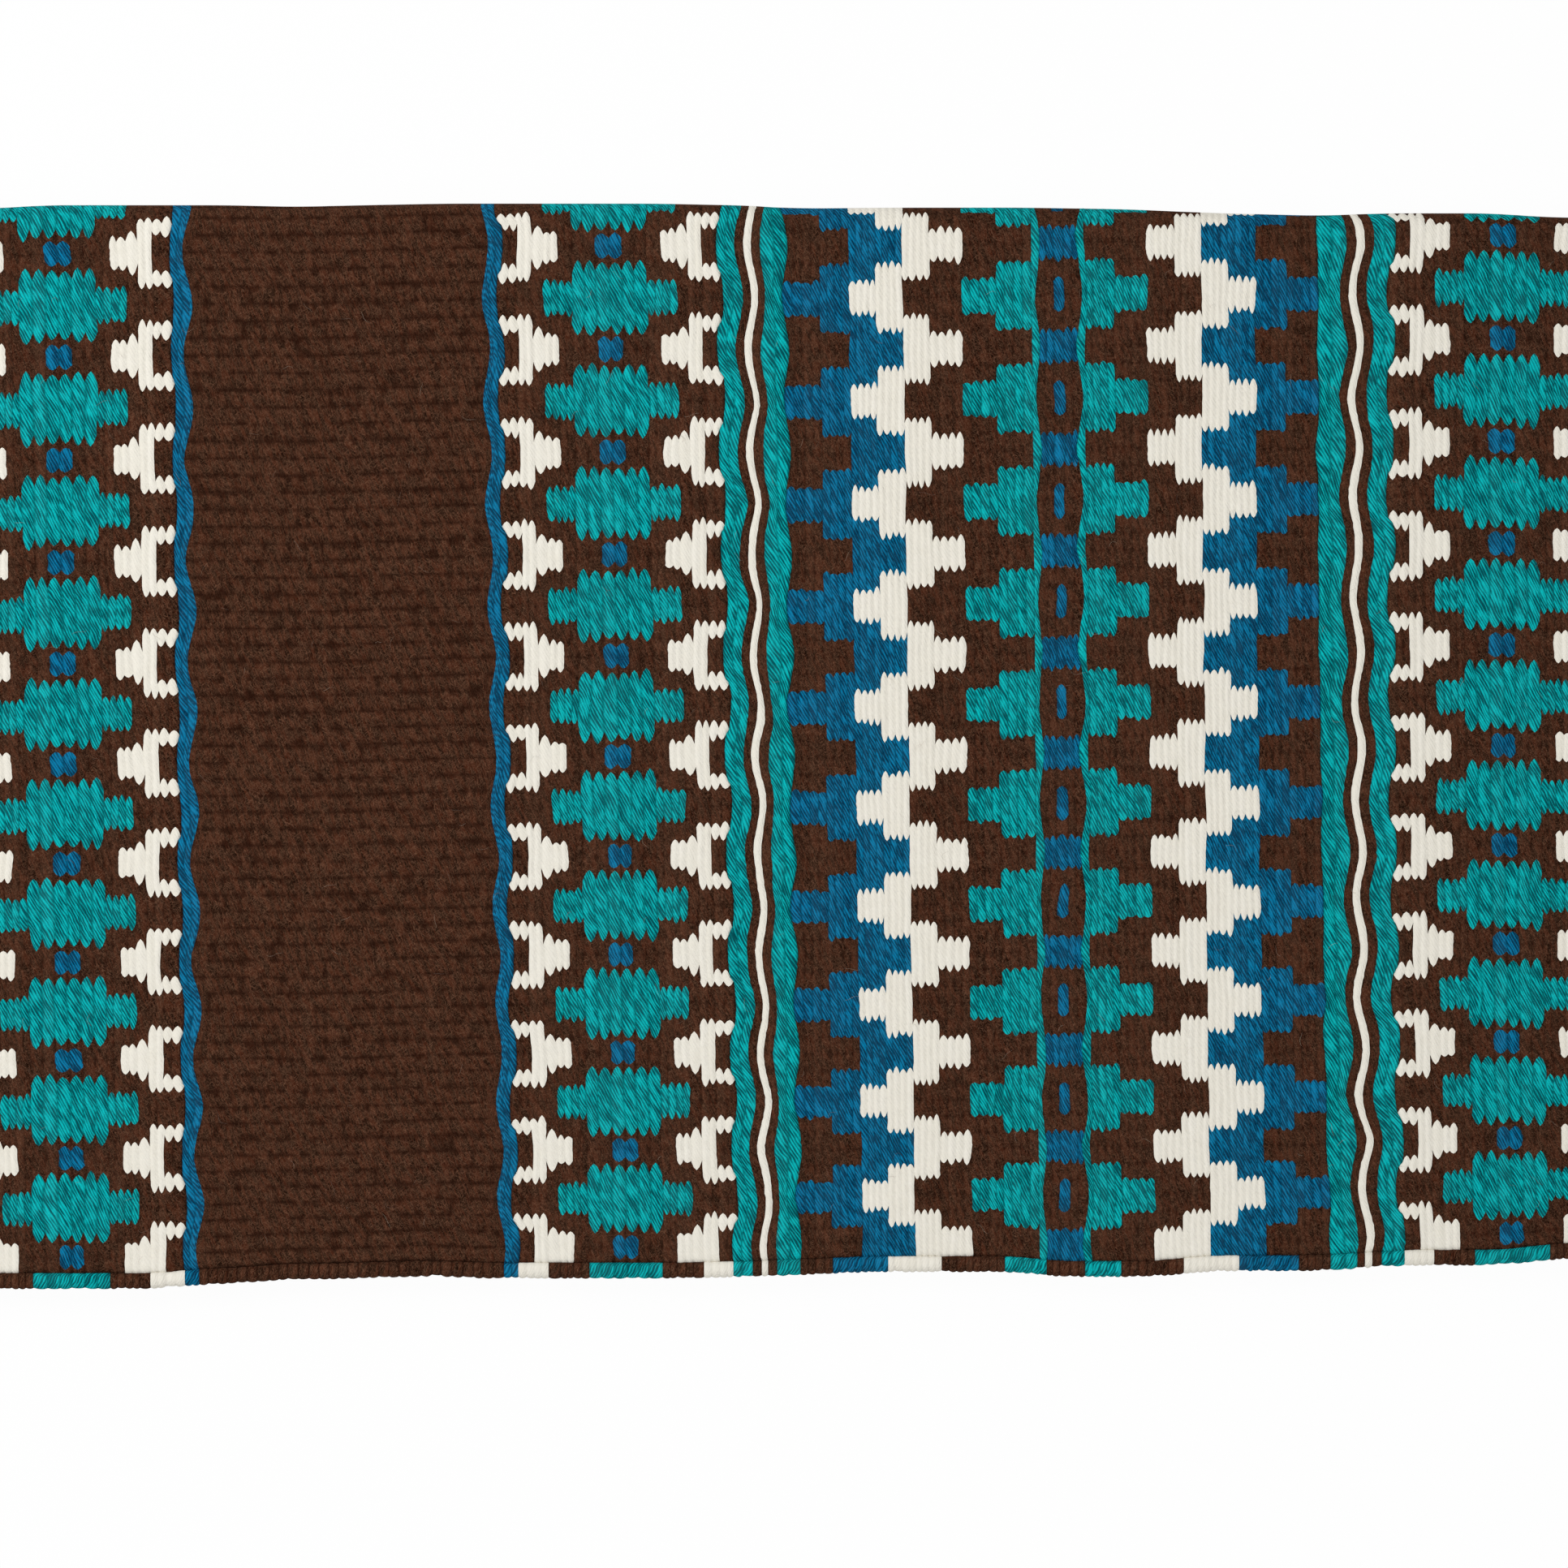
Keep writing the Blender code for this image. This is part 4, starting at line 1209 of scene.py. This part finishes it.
class SADDLE_OT_step_bands(bpy.types.Operator):
    """Weave the two wide bands where the stepped zigzags interlock"""

    bl_idname = "saddle.step_bands"
    bl_label = "Weave step bands"

    def execute(self, context):
        runs = ("inner_step_field", "inner_zigzag", "centre_field", "outer_zigzag",
                "outer_step_field")
        for side in SIDES:
            columns = the_loom().columns_of(side, "step_band", "step_band")
            bands = [f"{side}_{run}" for run in runs]
            add_band(f"{side}_step_band", columns, bands, [f"{side}_steps"])
        return {"FINISHED"}


class SADDLE_OT_selvedges(bpy.types.Operator):
    """Bind the thick last rib along the hem of each half"""

    bl_idname = "saddle.selvedges"
    bl_label = "Bind selvedges"

    def execute(self, context):
        for half, way in (("upper", 1), ("lower", -1)):
            cord = bind_selvedge(f"woven_{half}_selvedge", the_loom(), way)
            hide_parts(f"{half}_selvedge")
            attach(cord, f"{half}_half")
        return {"FINISHED"}


class SADDLE_OT_fibres(bpy.types.Operator):
    """Scatter stray wool fibres over the upper face"""

    bl_idname = "saddle.fibres"
    bl_label = "Scatter stray fibres"

    def execute(self, context):
        cloth = context.scene.saddle_cloth
        piece = lay_fibres("stray_fibres", cloth.fibre_count, cloth.fibre_length / MM,
                           cloth.fibre_radius / MM)
        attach(piece, "upper_half")
        return {"FINISHED"}


SENSOR = 36.0
FLOOR_SIZE = 40.0
FLOOR_GLOW = 0.96
FLOOR_COLOUR = (0.82, 0.82, 0.82, 1.0)
FLOOR_ROUGHNESS = 0.9
LAMPS = (
    ("key_lamp", (-1.0, 0.8, 1.5), 0.9, "key_power"),
    ("fill_lamp_right", (1.5, -0.4, 1.9), 1.6, "fill_power"),
    ("fill_lamp_hem", (0.1, -1.7, 1.8), 1.6, "fill_power"),
)


def seen_ray(tree):
    """1 for rays from the camera, from a gloss or through glass."""
    path = add_node(tree, "LightPath", {})
    seen = math_node(tree, "MAXIMUM", path["Is Camera Ray"], path["Is Glossy Ray"])
    return math_node(tree, "MAXIMUM", seen, path["Is Transmission Ray"])


class SADDLE_OT_stage(bpy.types.Operator):
    """Set the camera over the blanket, with a pale floor and soft lamps"""

    bl_idname = "saddle.stage"
    bl_label = "Set the stage"

    def execute(self, context):
        settings = context.scene.saddle_stage
        self.set_camera(context.scene, settings)
        self.set_floor()
        self.set_lamps(context.scene, settings)
        self.set_room(context.scene, settings)
        context.scene.view_settings.view_transform = "Standard"
        return {"FINISHED"}

    def set_camera(self, scene, settings):
        """Look straight down on the photographed square of the cloth."""
        data = bpy.data.cameras.new("camera")
        data.sensor_width = SENSOR
        data.lens = SENSOR * settings.camera_height / (PHOTO_PIXELS * PIXEL * MM)
        camera = bpy.data.objects.new("camera", data)
        middle = PHOTO_PIXELS / 2
        camera.location = (pixel_x(middle) * MM, pixel_y(middle) * MM,
                           2 * FOLD_CENTRE_Z * MM + settings.camera_height)
        scene.collection.objects.link(camera)
        scene.camera = camera

    def set_floor(self):
        """A pale floor that looks white and keeps a faint shadow."""
        bpy.ops.mesh.primitive_plane_add(size=FLOOR_SIZE)
        floor = bpy.context.object
        floor.name = "floor"
        material, tree, shader = new_material("floor_white")
        feed(tree, shader, {"Base Color": FLOOR_COLOUR, "Roughness": FLOOR_ROUGHNESS})
        mixed = add_node(tree, "MixShader", {
            "Fac": math_node(tree, "MULTIPLY", seen_ray(tree), FLOOR_GLOW),
            1: shader.outputs["BSDF"], 2: add_node(tree, "Emission", {})["Emission"]})
        feed(tree, tree.nodes["Material Output"], {"Surface": mixed["Shader"]})
        floor.data.materials.append(material)

    def set_lamps(self, scene, settings):
        """Large soft lamps, all aimed at the blanket."""
        for name, place, size, power in LAMPS:
            data = bpy.data.lights.new(name, "AREA")
            data.shape = "DISK"
            data.size = size
            data.energy = getattr(settings, power)
            lamp = bpy.data.objects.new(name, data)
            lamp.location = place
            lamp.rotation_euler = (-lamp.location).to_track_quat("-Z", "Y").to_euler()
            scene.collection.objects.link(lamp)

    def set_room(self, scene, settings):
        """An even room light, white where it is seen."""
        world = bpy.data.worlds.new("room")
        world.use_nodes = True
        tree = world.node_tree
        light = settings.room_light
        feed(tree, tree.nodes["Background"], {
            "Color": (1.0, 1.0, 1.0, 1.0),
            "Strength": math_node(tree, "MULTIPLY_ADD", seen_ray(tree), 1.0 - light, light)})
        scene.world = world


class SADDLE_PT_panel(bpy.types.Panel):
    """Settings and steps of the saddle blanket"""

    bl_idname = "SADDLE_PT_panel"
    bl_label = "Saddle Blanket"
    bl_space_type = "VIEW_3D"
    bl_region_type = "UI"
    bl_category = "Saddle Blanket"

    def draw(self, context):
        scene = context.scene
        for title, settings in (("Cloth", scene.saddle_cloth), ("Wool", scene.saddle_wool),
                                ("Stage", scene.saddle_stage)):
            box = self.layout.box()
            box.label(text=title)
            for key in settings.__annotations__:
                box.prop(settings, key)
        for operator in OPERATORS:
            self.layout.operator(operator.bl_idname)


OPERATORS = (
    SADDLE_OT_stage, SADDLE_OT_plain_field, SADDLE_OT_diamonds, SADDLE_OT_rails,
    SADDLE_OT_step_bands, SADDLE_OT_selvedges, SADDLE_OT_fibres,
)
SETTINGS = (
    ("saddle_cloth", SADDLE_PG_cloth), ("saddle_wool", SADDLE_PG_wool),
    ("saddle_stage", SADDLE_PG_stage),
)


def register():
    """Register the settings, the operators and the panel."""
    for name, group in SETTINGS:
        bpy.utils.register_class(group)
        setattr(bpy.types.Scene, name, bpy.props.PointerProperty(type=group))
    for operator in OPERATORS + (SADDLE_PT_panel,):
        bpy.utils.register_class(operator)


def unregister():
    """Take out everything that register put in."""
    for operator in reversed(OPERATORS + (SADDLE_PT_panel,)):
        bpy.utils.unregister_class(operator)
    for name, group in reversed(SETTINGS):
        delattr(bpy.types.Scene, name)
        bpy.utils.unregister_class(group)


def main():
    """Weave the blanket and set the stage."""
    register()
    bpy.ops.saddle.stage()
    bpy.ops.saddle.plain_field()
    bpy.ops.saddle.diamonds()
    bpy.ops.saddle.rails()
    bpy.ops.saddle.step_bands()
    bpy.ops.saddle.selvedges()
    bpy.ops.saddle.fibres()


if __name__ == "__main__":
    main()
